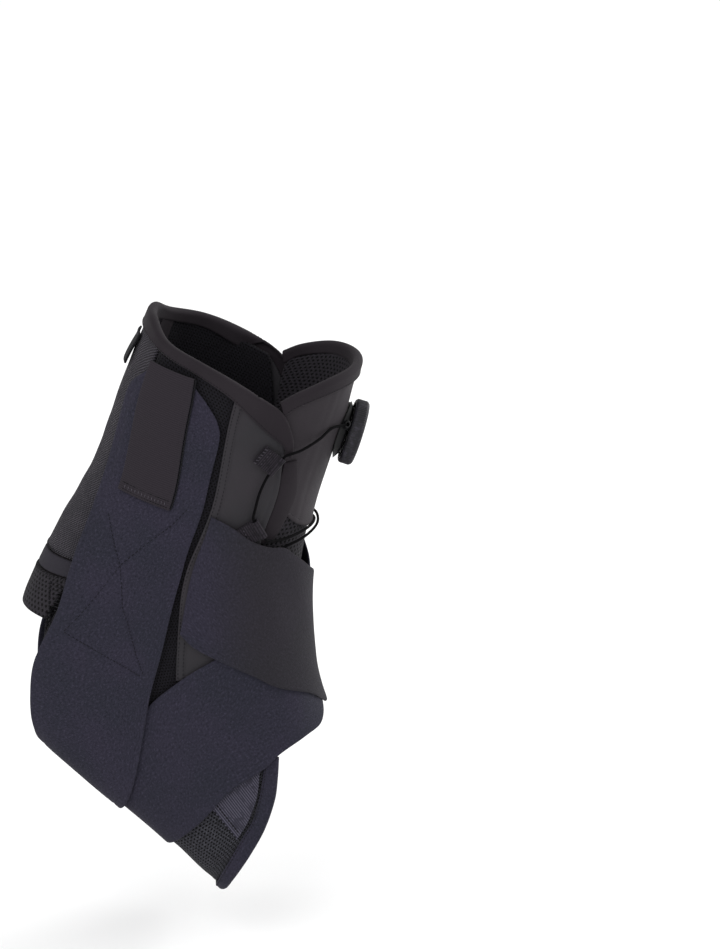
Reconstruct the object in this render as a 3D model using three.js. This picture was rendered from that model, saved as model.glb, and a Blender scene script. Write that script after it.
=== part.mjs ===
// Ankle brace, worn: millimetres, +Z up, toes toward +X, outer side of the ankle toward -Y.
// The origin is the centre of the ankle joint, inside the hollow for the leg.
import * as THREE from "three";

// Form: the leg and foot that the brace is shaped on, as one stack of sections
const legRise = 127;
const footDrop = 92;
const footReach = 45.5;
const ankleDepth = 104;
const ankleWidth = 76;
const soleSlope = 42.2;
const soleDepth = 77;
const soleRound = 7;

// Cloth and layers
const clearance = 0.6;
const shellThickness = 2.2;
const tongueBaseThickness = 1.0;
const tonguePadThickness = 0.8;
const panelThickness = 1.2;
const strapThickness = 1.2;
const tabThickness = 1.1;
const bindingThickness = 0.9;
const gussetThickness = 0.8;
const facetLength = 9.5;
const hiddenFacetLength = 15;
const tapeFacetLength = 7;
const onBase = tongueBaseThickness + clearance;
const onShell = shellThickness + clearance;
const onPanel = onShell + panelThickness + clearance;
const overStrap = strapThickness + clearance + 0.15;
const overInstep = onShell + overStrap + 0.3;

// Lace and its guides
const laceRadius = 0.6;
const laceSides = 6;
const laceFacet = 4.5;
const boreRadius = 0.95;
const guideWall = 0.75;
const lowerGuideWall = 0.35;
const guideTail = 9.5;
const lowerGuideTail = 5;
const guideRise = 0.3;

// Dial
const dialDown = 12.6;
const dialRadius = 14.6;
const baseRadius = 13.2;
const baseTop = 2.4;
const spoutReach = 8.5;
const spoutHalfAngle = 6.5;
const spoutRise = 26;
const ratchetRadius = 10.6;
const ratchetHeight = 1.2;
const knobHeight = 6.2;
const knobWall = 2.2;
const knurlTeeth = 24;
const knurlDepth = 0.5;

const radians = THREE.MathUtils.degToRad;

// Turns rows of numbers into records with the named columns
function table(columns, rows) {
  const names = columns.split(" ");
  return rows.map((row) => Object.fromEntries(names.map((name, i) => [name, row[i]])));
}

// Sections from the top of the leg part (first) to the front of the foot part (last)
// forward: share of footReach; up: share of legRise above the ankle, of footDrop below it
// front, back: shares of ankleDepth; side: share of ankleWidth; rounds: fullness of the outline
// sole: share of soleDepth at which the section is flattened
const formSections = table("forward up tilt front back side frontRound backRound sole", [
  [0.762, 1.0, -12.5, 0.431, 0.431, 0.54, 2.1, 2.1, 1],
  [0.567, 0.79, -12, 0.448, 0.452, 0.513, 2.1, 2.0, 1],
  [0.385, 0.505, -8, 0.419, 0.502, 0.475, 2.1, 1.9, 1],
  [0.105, 0.26, -2, 0.481, 0.565, 0.475, 2.1, 1.9, 1],
  [0.066, 0.047, 8, 0.481, 0.699, 0.493, 2.1, 2.1, 0.98],
  [0.132, -0.239, 19.7, 0.481, 0.745, 0.487, 2.1, 2.6, 0.965],
  [0.264, -0.5, 30.6, 0.474, 0.56, 0.487, 2.1, 3.0, 0.965],
  [0.549, -0.703, 41.9, 0.413, 0.46, 0.5, 2.1, 3.2, 0.975],
  [0.802, -0.872, 50, 0.367, 0.42, 0.52, 2.1, 3.2, 0.995],
  [1.0, -1.0, 54.7, 0.341, 0.39, 0.54, 2.1, 3.2, 1.015],
]);

// Smooth value of one column between the rows of a table
function between(rows, at, column) {
  const last = rows.length - 1;
  const i = Math.min(last - 1, Math.max(0, Math.floor(at)));
  const t = at - i;
  const b = rows[i][column];
  const c = rows[i + 1][column];
  const a = i > 0 ? rows[i - 1][column] : 2 * b - c;
  const d = i < last - 1 ? rows[i + 2][column] : 2 * c - b;
  const slopeB = (c - a) / 2;
  const slopeC = (d - b) / 2;
  const curve = (2 * b - 2 * c + slopeB + slopeC) * t + (3 * c - 3 * b - 2 * slopeB - slopeC);
  return (curve * t + slopeB) * t + b;
}

// Point of the bare form: down in percent from top to toe end, around in degrees from the front
function formSkin(down, around) {
  const at = (down / 100) * (formSections.length - 1);
  const value = (column) => between(formSections, at, column);
  const up = value("up");
  const tilt = radians(value("tilt"));
  const ahead = Math.cos(radians(around));
  const aside = Math.sin(radians(around));
  const depth = ankleDepth * value(ahead > 0 ? "front" : "back");
  const width = ankleWidth * value("side");
  const round = value(ahead > 0 ? "frontRound" : "backRound");
  const reach = ((Math.abs(ahead) / depth) ** round + (Math.abs(aside) / width) ** round) ** (-1 / round);
  const point = new THREE.Vector3(
    value("forward") * footReach + reach * ahead * Math.cos(tilt),
    reach * aside,
    up * (up > 0 ? legRise : footDrop) + reach * ahead * Math.sin(tilt),
  );
  return flattenSole(point, value("sole") * soleDepth);
}

// Holds a point above the sloping plane of the sole, with a rounded turn into it
function flattenSole(point, depth) {
  const slope = radians(soleSlope);
  const outward = new THREE.Vector3(-Math.sin(slope), 0, -Math.cos(slope));
  const past = point.dot(outward) - depth;
  if (past <= -soleRound) return point;
  const held = past >= soleRound ? past : (past + soleRound) ** 2 / (4 * soleRound);
  return point.addScaledVector(outward, -held);
}

// Point at a height above the form, and the outward direction there
function onForm(down, around, lift = 0) {
  const step = 0.2;
  const along = formSkin(down + step, around).sub(formSkin(down - step, around));
  const across = formSkin(down, around + step).sub(formSkin(down, around - step));
  const outward = new THREE.Vector3().crossVectors(along, across).normalize();
  return { point: formSkin(down, around).addScaledVector(outward, lift), outward };
}

// Closed mesh from points and quads or triangles, turned so that it faces outward
function closedMesh(name, material, points, faces) {
  const corners = faces.flatMap((face) => (face.length === 4
    ? [face[0], face[1], face[2], face[0], face[2], face[3]]
    : face));
  let volume = 0;
  for (let i = 0; i < corners.length; i += 3) {
    const [a, b, c] = [points[corners[i]], points[corners[i + 1]], points[corners[i + 2]]];
    volume += a.dot(new THREE.Vector3().crossVectors(b, c));
  }
  if (volume < 0) corners.reverse();
  const geometry = new THREE.BufferGeometry();
  geometry.setAttribute("position", new THREE.Float32BufferAttribute(points.flatMap((p) => p.toArray()), 3));
  geometry.setIndex(corners);
  geometry.computeVertexNormals();
  const mesh = new THREE.Mesh(geometry, material);
  mesh.name = name;
  return mesh;
}

// Cross-section of a cloth: columns across it, with the heights of its two faces
function evenSection(columns, thickness) {
  const edge = Math.min(0.25, thickness * 0.2);
  return Array.from({ length: columns + 1 }, (unused, i) => {
    const slim = i === 0 || i === columns ? edge : 0;
    return { at: i / columns, low: slim, high: thickness - slim, fold: 0 };
  });
}

// Cross-section of a tape folded over an edge: its first part reaches down past the cloth
function foldedSection(thickness) {
  return [
    { at: 0, low: 0.2, high: thickness - 0.3, fold: 1 },
    { at: 0.12, low: 0, high: thickness, fold: 1 },
    { at: 0.24, low: 0, high: thickness, fold: 1 },
    { at: 0.3, low: 0, high: thickness, fold: 0 },
    { at: 1, low: 0.15, high: thickness - 0.25, fold: 0 },
  ];
}

// Cloth laid on the form between two edges; rows give both edges, heights and the bow between
function cloth(name, material, { rows, section, side = 1, lift = 0, facet = facetLength }) {
  const stations = stationsAlong(rows, facet);
  const columns = section.length;
  const low = [];
  const high = [];
  for (const at of stations) {
    const value = (column) => (column in rows[0] ? between(rows, at, column) : 0);
    const endLift = "endLift" in rows[0] ? value("endLift") : value("lift");
    for (const part of section) {
      const bow = value("bow") * (1 - (2 * part.at - 1) ** 2);
      const down = THREE.MathUtils.lerp(value("down"), value("endDown"), part.at) + bow;
      const around = side * THREE.MathUtils.lerp(value("around"), value("endAround"), part.at);
      const base = lift + THREE.MathUtils.lerp(value("lift"), endLift, part.at);
      low.push(onForm(down, around, base + part.low - part.fold * value("fold")).point);
      high.push(onForm(down, around, base + part.high).point);
    }
  }
  return closedMesh(name, material, [...low, ...high], slabFaces(stations.length - 1, columns, low.length));
}

// Places along a table of rows, close enough that no facet is much longer than the given length
function stationsAlong(rows, facet) {
  const stations = [0];
  for (let i = 0; i < rows.length - 1; i += 1) {
    const edges = [["down", "around"], ["endDown", "endAround"]].map(([down, around]) => (
      formSkin(rows[i][down], rows[i][around]).distanceTo(formSkin(rows[i + 1][down], rows[i + 1][around]))
    ));
    const parts = Math.max(1, Math.round(Math.max(...edges) / facet));
    for (let k = 1; k <= parts; k += 1) stations.push(i + k / parts);
  }
  return stations;
}

// Faces of a slab whose low points come first and whose high points follow
function slabFaces(steps, columns, offset) {
  const faces = [];
  const id = (i, j) => i * columns + j;
  for (let i = 0; i < steps; i += 1) {
    for (let j = 0; j < columns - 1; j += 1) {
      const quad = [id(i, j), id(i, j + 1), id(i + 1, j + 1), id(i + 1, j)];
      faces.push(quad);
      faces.push(quad.map((k) => k + offset).reverse());
    }
    for (const j of [0, columns - 1]) {
      const wall = [id(i, j), id(i + 1, j), id(i + 1, j) + offset, id(i, j) + offset];
      faces.push(j === 0 ? wall : wall.reverse());
    }
  }
  for (let j = 0; j < columns - 1; j += 1) {
    for (const i of [0, steps]) {
      const wall = [id(i, j), id(i, j) + offset, id(i, j + 1) + offset, id(i, j + 1)];
      faces.push(i === 0 ? wall : wall.reverse());
    }
  }
  return faces;
}

function material(colour, roughness, metalness = 0) {
  return new THREE.MeshStandardMaterial({ color: colour, roughness, metalness });
}

const colours = {
  strapCloth: "#31303d",
  shellMesh: "#1d1d22",
  panelCloth: "#37373b",
  tongueCloth: "#322e33",
  tabWebbing: "#2b282d",
  bindingTape: "#2a2831",
  ribbedElastic: "#3f3d4a",
  laceCord: "#121214",
  dialBody: "#1b1b1f",
  dialCap: "#3a3b42",
};

// Rows run from the top to the toe end; the first edge is the front one unless stated
const shellSideRows = table("down around endDown endAround", [
  [7.2, 73, 1.8, 147.5],
  [15.5, 61, 12, 148],
  [25, 60.5, 25, 149],
  [35, 59, 35, 151],
  [41, 57, 40.5, 156],
  [47, 55, 45.6, 165],
  [56, 52, 51, 165.5],
  [66, 51, 56, 164.5],
  [75, 53, 64, 155.5],
  [79.8, 60, 72, 150],
  [86.2, 76, 82, 148.5],
  [90.6, 94, 89.6, 147.5],
  [92.7, 122, 94, 144],
]);
const heelPanelRows = table("down around endDown endAround bow", [
  [2, 149, 2, 211, -1.9],
  [12, 149.5, 12, 210.5, -0.8],
  [24, 150.5, 24, 209.5, 0],
  [34.4, 152.8, 34.4, 207.2, 0],
]);
const heelBandRows = table("down around endDown endAround", [
  [34.6, 153.2, 34.6, 206.8],
  [36.9, 155, 36.9, 205],
]);
const heelMeshRows = table("down around endDown endAround bow", [
  [37.1, 155.3, 37.1, 204.7, 0],
  [40, 158, 40, 202, -0.2],
  [42.7, 161.5, 42.7, 198.5, -0.6],
]);
const soleRows = table("down around endDown endAround", [
  [57, 166, 57, 194],
  [60.5, 161.5, 60.5, 198.5],
  [65, 156, 65, 204],
  [72.5, 151.5, 72.5, 208.5],
  [82, 150, 82, 210],
  [91, 149, 91, 211],
  [96.2, 145.5, 96.2, 214.5],
]);
const frontPanelRows = table("down around endDown endAround", [
  [8.2, 71, 5.2, 93],
  [12.4, 57, 10.6, 92],
  [15.8, 54, 13.3, 91.5],
  [20.1, 51.5, 18.2, 91],
  [25.5, 51, 23.5, 90],
  [31.3, 48, 30, 88],
  [40, 48, 38, 88],
  [49, 49, 46, 93],
  [57, 51, 53, 97.5],
]);
const tongueRows = table("down around endDown endAround bow", [
  [7.2, -62, 7.2, 62, -6.4],
  [12, -60, 12, 60, -2.5],
  [18, -59, 18, 59, 0],
  [24.6, -57, 24.6, 57, 3.2],
]);
const tongueBaseRows = table("down around endDown endAround bow", [
  [7.4, -62, 7.4, 62, -6.5],
  [16, -59.5, 16, 59.5, -1],
  [27, -58, 27, 58, 0],
  [36, -57, 36, 57, 0],
  [46, -53, 46, 53, 0],
  [58, -50, 58, 50, 2],
  [70, -48, 70, 48, 8],
  [77, -50, 77, 50, 12],
]);
const tongueBindingRows = table("down around endDown endAround", [
  [6.1, -66, 8.3, -62],
  [3.6, -56, 6, -54],
  [1.0, -39, 3.6, -37],
  [-0.2, -21, 2.5, -20],
  [-0.6, 0, 2.2, 0],
  [-0.2, 21, 2.5, 20],
  [1.0, 39, 3.6, 37],
  [3.6, 56, 6, 54],
  [6.1, 66, 8.3, 62],
]);
// Half of the top tape, from the middle of the back round to the end on the front panel
const topBindingHalf = table("down around endDown endAround lift fold", [
  [-1.3, 180, 1.7, 180, onShell, onShell],
  [-1.0, 164, 2.0, 160, onShell, onShell],
  [0.9, 144, 3.1, 141, onShell, onShell],
  [2.0, 119, 4.2, 118, onShell, onShell],
  [3.6, 97, 6.1, 98, onPanel - 0.6, onPanel - 0.6],
  [5.7, 76, 8.8, 82, onPanel, 0.5],
  [7.6, 64, 10.8, 71, onPanel, 0.5],
  [10.4, 56, 12.2, 62, onPanel, 0.5],
  [12.8, 51.5, 13, 57.2, onPanel, 0.5],
  [14.8, 50.5, 14.2, 54, onPanel, 0.5],
]);
const footBindingHalf = table("down around endDown endAround lift fold", [
  [98.2, 180, 95.6, 180, onShell, onShell],
  [98.2, 162, 95.6, 162, onShell, onShell],
  [97.9, 150, 95.3, 150, onShell, onShell],
  [97.4, 140, 94.2, 141, onShell + 0.1, onShell],
  [96.4, 129, 92.6, 130, onShell + 0.4, onShell],
  [95.1, 111, 90, 110, onShell + 0.3, onShell],
  [93.2, 93, 88.2, 93, onShell, onShell],
  [89.6, 77, 84.6, 80, onShell, onShell],
  [85.4, 66, 81.6, 72, onShell, onShell],
  [81.8, 58, 79, 67, onShell, onShell],
]);
const gussetRows = table("down around endDown endAround", [
  [77.5, 73, 80.9, 73.5],
  [77, 84, 85, 84],
  [77, 98, 87.8, 98],
  [77.5, 112, 89, 111],
]);
// The over strap starts on the outer side, the under strap is its mirror image
// The first edge is the upper one; both end in the middle of the sole
const instepColumns = "down around endDown endAround lift endLift";
const overStrapRows = table(instepColumns, [
  [24.1, -92, 44.8, -91, onPanel, onPanel],
  [24.7, -82, 47.6, -82, onPanel + 0.6, onPanel + 0.6],
  [25.5, -71, 50.6, -71, onPanel + 1.9, onPanel + overStrap],
  [27.3, -58, 53, -61, onPanel + 2.1, onPanel + overStrap],
  [28.6, -45, 57, -50, onPanel + 1.9, onPanel + overStrap],
  [29, -36, 62, -40, onPanel + overStrap, onPanel + overStrap],
  [30.8, -28, 67, -30, onPanel + overStrap, onPanel + overStrap],
  [33.2, -19, 72.5, -19, onPanel + overStrap, onPanel + overStrap],
  [36.6, -9, 79, -8, onPanel + overStrap + 0.3, onPanel + overStrap],
  [40, 2, 84.5, 5, onPanel + overStrap + 0.5, onPanel + overStrap + 0.3],
  [43, 15, 86.5, 20, onPanel + overStrap + 0.6, onPanel + overStrap + 0.2],
  [46, 32, 83.4, 38, onPanel + overStrap + 0.8, onPanel + overStrap],
  [48.5, 52, 81, 56, onPanel + overStrap + 0.8, onPanel + overStrap],
  [50.8, 70, 80.6, 71, onPanel + overStrap + 0.4, onPanel + 1],
  [52, 84, 79.2, 88, onPanel + 1.2, onPanel + 0.6],
  [53.4, 98, 79.2, 102, onPanel, onPanel],
  [55.6, 115, 80, 118, onShell + 0.5, onShell + 0.5],
  [59, 131, 80.2, 132, onShell + 0.4, onShell + 0.3],
  [61.5, 140, 80.2, 141, onShell + 0.3, onShell + 0.2],
  [63.5, 147, 80.2, 147, onShell + 0.1, onShell + 0.1],
  [65, 153, 80.2, 153, onShell, onShell],
  [66, 160, 80.2, 160, onShell, onShell],
  [67, 170, 80.2, 170, onShell, onShell],
  [67.5, 179.2, 80.2, 179.2, onShell, onShell],
]);
const underStrapRows = overStrapRows.map((row) => ({
  ...row,
  lift: row.around > -40 && row.around < 90 ? onPanel : row.lift,
  endLift: row.around < 90 ? onPanel : row.endLift,
}));
// Half of the stirrup strap, from its top end down to the middle of the sole; front edge first
const stirrupHalf = table("down around endDown endAround lift", [
  [6.4, 117.5, 6.6, 147.5, onShell],
  [8.8, 107, 8.6, 154, onShell],
  [11.4, 98, 10.8, 160, onShell],
  [14, 95, 15.1, 161, onShell],
  [20, 96, 22, 162, onShell],
  [27.3, 93.5, 29.5, 159, onShell],
  [34, 91.5, 36, 156, onShell + 0.6],
  [41, 96, 42.5, 156, onShell + 1.4],
  [48, 104.5, 48, 159.5, overInstep],
  [54.2, 115, 52, 161.5, overInstep],
  [60, 123, 54.5, 162, overInstep],
  [65, 131, 55.6, 162.5, overInstep],
  [68, 138, 56.4, 163.5, overInstep],
  [69.6, 144, 57, 165, overInstep],
  [70.3, 149, 57.4, 167.5, overInstep],
  [70.5, 156, 57.8, 171, overInstep],
  [70.5, 167, 58, 175, overInstep],
  [70.5, 180, 58, 180, overInstep],
]);
const hookTabRows = table("down around endDown endAround", [
  [4.7, 118, 4.9, 147],
  [10.2, 116, 10, 147.5],
  [16.8, 116, 16.5, 148],
  [24.3, 115.5, 23.3, 148],
]);
const pullTabRows = table("down around endDown endAround lift", [
  [3.2, 172, 3.2, 188, 0],
  [4.4, 172, 4.4, 188, 0.1],
  [6.2, 172, 6.2, 188, 0.7],
  [7.8, 172, 7.8, 188, 1.1],
  [9, 172.5, 9, 187.5, 1.2],
]);
// Bores of the fabric lace guides on one side: both ends, and the height of the guide's foot
const guideBores = {
  upper: { from: [14.5, 56.5], to: [16.9, 62], foot: onPanel + guideRise, wall: guideWall, droop: 0.8 },
  middle: { from: [24, 62], to: [26.7, 51.5], foot: onPanel + guideRise, wall: guideWall, droop: 0.45 },
  lower: { from: [32.6, 41], to: [36.2, 39.5], foot: onBase, wall: lowerGuideWall, droop: 0.2 },
};
// Free runs of the lace between the dial and the guides, on the side where the run starts
const laceToUpper = table("down around lift", [
  [10.6, 26, 3.2],
  [11.9, 35, 4.2],
  [13.3, 47, 6.1],
]);
const laceToMiddle = table("down around lift", [
  [19.6, 64.5, 6.2],
  [22, 64.2, 6.2],
]);
const laceCrossing = table("down around lift over", [
  [27.7, 45, 5.6, 0],
  [27.9, 36, 4.2, 0],
  [27.6, 27, 3.6, 0.5],
  [27.3, 16, 3.4, 1],
  [27.2, 6, 3.4, 1],
  [27.6, -6, 3.4, 1],
  [28.6, -20, 3.3, 0.6],
  [30.2, -34, 2.9, 0],
]);
const laceReturn = table("down around lift", [
  [38.4, 37, 2.5],
  [39.6, 30, 2.3],
  [40, 15, 2.3],
  [40, 0, 2.3],
]);

// A whole strip from its half table: the half is mirrored through the front or the back
function wholeStrip(half) {
  const turn = half[0].around === 180 ? 360 : 0;
  const far = half.slice(1).map((row) => (
    { ...row, around: turn - row.around, endAround: turn - row.endAround }
  ));
  return [...half.slice().reverse(), ...far];
}

// A direction frame at a guide's bore: along the bore, toward its tail, and outward
function guideFrame(bore, side) {
  const loop = boreRadius + bore.wall;
  const start = onForm(bore.from[0], side * bore.from[1], bore.foot + loop);
  const end = onForm(bore.to[0], side * bore.to[1], bore.foot + loop);
  const along = end.point.clone().sub(start.point).normalize();
  const outward = start.outward.clone().add(end.outward).projectOnPlane(along).normalize();
  const tailward = new THREE.Vector3().crossVectors(outward, along).multiplyScalar(side);
  return { start: start.point, end: end.point, along, outward, tailward };
}

// Outline of a folded fabric loop: x toward the flat tail, y outward from the bore's axis
function guideOutline(bore) {
  const loop = boreRadius + bore.wall;
  const thickness = Math.min(tabThickness, loop);
  const turn = Math.acos((loop - thickness) / loop);
  const corners = 10;
  const outer = [];
  const inner = [];
  for (let i = 0; i <= corners; i += 1) {
    const angle = Math.PI + (i / corners) * (2 * Math.PI - turn);
    outer.push(new THREE.Vector2(Math.sin(angle) * loop, Math.cos(angle) * loop));
  }
  const tail = bore.wall === guideWall ? guideTail : lowerGuideTail;
  outer.push(new THREE.Vector2(tail, thickness - loop - bore.droop));
  outer.push(new THREE.Vector2(tail, -loop - bore.droop));
  for (let i = 0; i < corners; i += 1) {
    const angle = Math.PI + (i / corners) * 2 * Math.PI;
    inner.push(new THREE.Vector2(Math.sin(angle) * boreRadius, Math.cos(angle) * boreRadius));
  }
  return { outer, inner };
}

// Folded fabric loop: a flat tail stitched to the panel and a round bore for the lace
function laceGuide(name, bore, side) {
  const frame = guideFrame(bore, side);
  const { outer, inner } = guideOutline(bore);
  const outline = [...outer, ...inner];
  const points = [frame.start, frame.end].flatMap((end) => outline.map((corner) => end.clone()
    .addScaledVector(frame.tailward, corner.x)
    .addScaledVector(frame.outward, corner.y)));
  const far = outline.length;
  const faces = [];
  for (const [first, count] of [[0, outer.length], [outer.length, inner.length]]) {
    for (let i = 0; i < count; i += 1) {
      const wall = [first + i, first + ((i + 1) % count)];
      faces.push([wall[0], wall[1], wall[1] + far, wall[0] + far]);
    }
    if (first > 0) faces.slice(-count).forEach((face) => face.reverse());
  }
  const cap = THREE.ShapeUtils.triangulateShape(outer, [inner]);
  const turned = THREE.ShapeUtils.isClockWise(outer);
  for (const triangle of cap) {
    faces.push(turned ? triangle : triangle.slice().reverse());
    const other = triangle.map((k) => k + far);
    faces.push(turned ? other.reverse() : other);
  }
  return closedMesh(name, material(colours.panelCloth, 0.9), points, faces);
}

// Frame of the dial: outward axis at the middle of the tongue
function dialFrame() {
  const seat = onForm(dialDown, 0, onBase + tonguePadThickness);
  const across = new THREE.Vector3(0, 1, 0);
  const up = new THREE.Vector3().crossVectors(seat.outward, across);
  return { seat: seat.point, outward: seat.outward, across, up };
}

function dialPoint(across, up, height) {
  const frame = dialFrame();
  return frame.seat.clone().addScaledVector(frame.across, across)
    .addScaledVector(frame.up, up).addScaledVector(frame.outward, height);
}

// The lace strand of one side, from the dial down to its lower guide on the other side
function laceStrand(side, rise) {
  const run = (rows, mirror) => rows.map((row) => (
    onForm(row.down, mirror * row.around, row.lift + rise * (row.over ?? 0)).point
  ));
  const bore = (guide, mirror) => {
    const frame = guideFrame(guide, mirror);
    const reach = frame.end.clone().sub(frame.start);
    return [-0.12, 0.02, 0.5, 0.98, 1.12].map((share) => frame.start.clone().addScaledVector(reach, share));
  };
  const spout = [spoutReach + clearance, baseRadius].map((reach) => dialPoint(
    side * reach * Math.cos(radians(spoutRise)), reach * Math.sin(radians(spoutRise)), baseTop / 2,
  ));
  return [
    ...spout,
    ...run(laceToUpper, side),
    ...bore(guideBores.upper, side),
    ...run(laceToMiddle, side),
    ...bore(guideBores.middle, side),
    ...run(laceCrossing, side),
    ...bore(guideBores.lower, -side),
    ...run(laceReturn, -side),
  ];
}

// Centres of the rings of the whole lace: each point of its route, and more on the long runs
function laceCentres() {
  const first = laceStrand(-1, 0);
  const second = laceStrand(1, 2 * laceRadius + 0.4);
  first.pop();
  const route = [...first, ...second.reverse()];
  const path = new THREE.CatmullRomCurve3(route, false, "centripetal");
  const centres = [route[0]];
  for (let i = 0; i < route.length - 1; i += 1) {
    const parts = Math.max(1, Math.round(route[i].distanceTo(route[i + 1]) / laceFacet));
    for (let k = 1; k <= parts; k += 1) centres.push(path.getPoint((i + k / parts) / (route.length - 1)));
  }
  return centres;
}

function lace() {
  const centres = laceCentres();
  const points = [];
  const faces = [];
  let normal = new THREE.Vector3(0, 0, 1);
  centres.forEach((centre, i) => {
    const ahead = centres[Math.min(i + 1, centres.length - 1)];
    const tangent = ahead.clone().sub(centres[Math.max(i - 1, 0)]).normalize();
    normal = normal.projectOnPlane(tangent).normalize();
    const across = new THREE.Vector3().crossVectors(tangent, normal);
    for (let j = 0; j < laceSides; j += 1) {
      const angle = (j / laceSides) * 2 * Math.PI;
      points.push(centre.clone()
        .addScaledVector(normal, laceRadius * Math.cos(angle))
        .addScaledVector(across, laceRadius * Math.sin(angle)));
    }
  });
  const rings = centres.length - 1;
  for (let i = 0; i < rings; i += 1) {
    const near = i * laceSides;
    const far = near + laceSides;
    for (let j = 0; j < laceSides; j += 1) {
      const next = (j + 1) % laceSides;
      faces.push([near + j, near + next, far + next, far + j]);
    }
  }
  for (let j = 1; j < laceSides - 1; j += 1) {
    faces.push([0, j + 1, j]);
    faces.push([0, j, j + 1].map((k) => k + rings * laceSides));
  }
  return closedMesh("lace", material(colours.laceCord, 0.6), points, faces);
}

// Solid from stacked rings of equal count round the dial's axis, closed by two middle points
function ringStack(name, mat, rings) {
  const count = rings[0].length;
  const points = rings.flat();
  const middle = (ring) => ring.reduce((sum, p) => sum.add(p), new THREE.Vector3()).divideScalar(count);
  const faces = [];
  for (let r = 0; r < rings.length - 1; r += 1) {
    for (let j = 0; j < count; j += 1) {
      const next = (j + 1) % count;
      faces.push([r * count + j, r * count + next, (r + 1) * count + next, (r + 1) * count + j]);
    }
  }
  const first = points.push(middle(rings[0])) - 1;
  const last = points.push(middle(rings[rings.length - 1])) - 1;
  for (let j = 0; j < count; j += 1) {
    const next = (j + 1) % count;
    faces.push([first, next, j]);
    faces.push([last, (rings.length - 1) * count + j, (rings.length - 1) * count + next]);
  }
  return closedMesh(name, mat, points, faces);
}

// Low housing that follows the curved tongue, with a slot on each side for the lace
function dialBase() {
  const angles = [];
  const spouts = [spoutRise, 180 - spoutRise];
  for (let degrees = 0; degrees < 360; degrees += 12) {
    if (spouts.every((spout) => Math.abs(degrees - spout) > spoutHalfAngle + 1)) angles.push([degrees, 1]);
  }
  for (const middle of spouts) {
    angles.push([middle - spoutHalfAngle, 1], [middle - spoutHalfAngle + 0.3, 0]);
    angles.push([middle, 0], [middle + spoutHalfAngle - 0.3, 0], [middle + spoutHalfAngle, 1]);
  }
  angles.sort((a, b) => a[0] - b[0]);
  const outline = (scale, height, onTongue) => angles.map(([degrees, full]) => {
    const radius = (full ? baseRadius : spoutReach) * scale;
    const across = radius * Math.cos(radians(degrees));
    const up = radius * Math.sin(radians(degrees));
    return onTongue ? tonguePoint(across, up, height) : dialPoint(across, up, height);
  });
  return ringStack("dial_base", material(colours.dialBody, 0.45), [
    outline(0.5, clearance, true),
    outline(1, clearance, true),
    outline(1, baseTop - 0.5, false),
    outline(0.96, baseTop, false),
  ]);
}

// Point above the tongue pad at a distance from the dial's middle, across and up
function tonguePoint(across, up, height) {
  const wide = dialPoint(across, up, 0);
  const level = onBase + tonguePadThickness + height;
  const around = THREE.MathUtils.radToDeg(across / (ankleDepth * 0.44));
  const perDown = formSkin(dialDown - 1, 0).distanceTo(formSkin(dialDown + 1, 0)) / 2;
  const on = onForm(dialDown - up / perDown, around, level).point;
  return new THREE.Vector3(on.x, wide.y, on.z);
}

function circle(radius, height, teeth, depth) {
  const count = teeth * 2;
  return Array.from({ length: count }, (unused, i) => {
    const angle = (i / count) * 2 * Math.PI;
    const reach = radius - (i % 2 ? depth : 0);
    return dialPoint(reach * Math.cos(angle), reach * Math.sin(angle), height);
  });
}

function dialRatchet() {
  const low = baseTop + clearance;
  return ringStack("dial_ratchet", material(colours.dialBody, 0.4), [
    circle(ratchetRadius, low, knurlTeeth / 2, 0.4),
    circle(ratchetRadius, low + ratchetHeight, knurlTeeth / 2, 0.4),
  ]);
}

function dialKnob() {
  const low = baseTop + clearance;
  const recess = dialRadius - knobWall;
  const roof = low + ratchetHeight + clearance;
  const top = low + knobHeight;
  return ringStack("dial_knob", material(colours.dialCap, 0.35), [
    circle(recess, roof, knurlTeeth, 0),
    circle(recess, low, knurlTeeth, 0),
    circle(dialRadius - 0.7, low, knurlTeeth, knurlDepth * 0.5),
    circle(dialRadius, low + 0.7, knurlTeeth, knurlDepth),
    circle(dialRadius, top - 1.1, knurlTeeth, knurlDepth),
    circle(dialRadius - 0.9, top - 0.2, knurlTeeth, 0),
    circle(dialRadius * 0.7, top, knurlTeeth, 0),
  ]);
}

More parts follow.
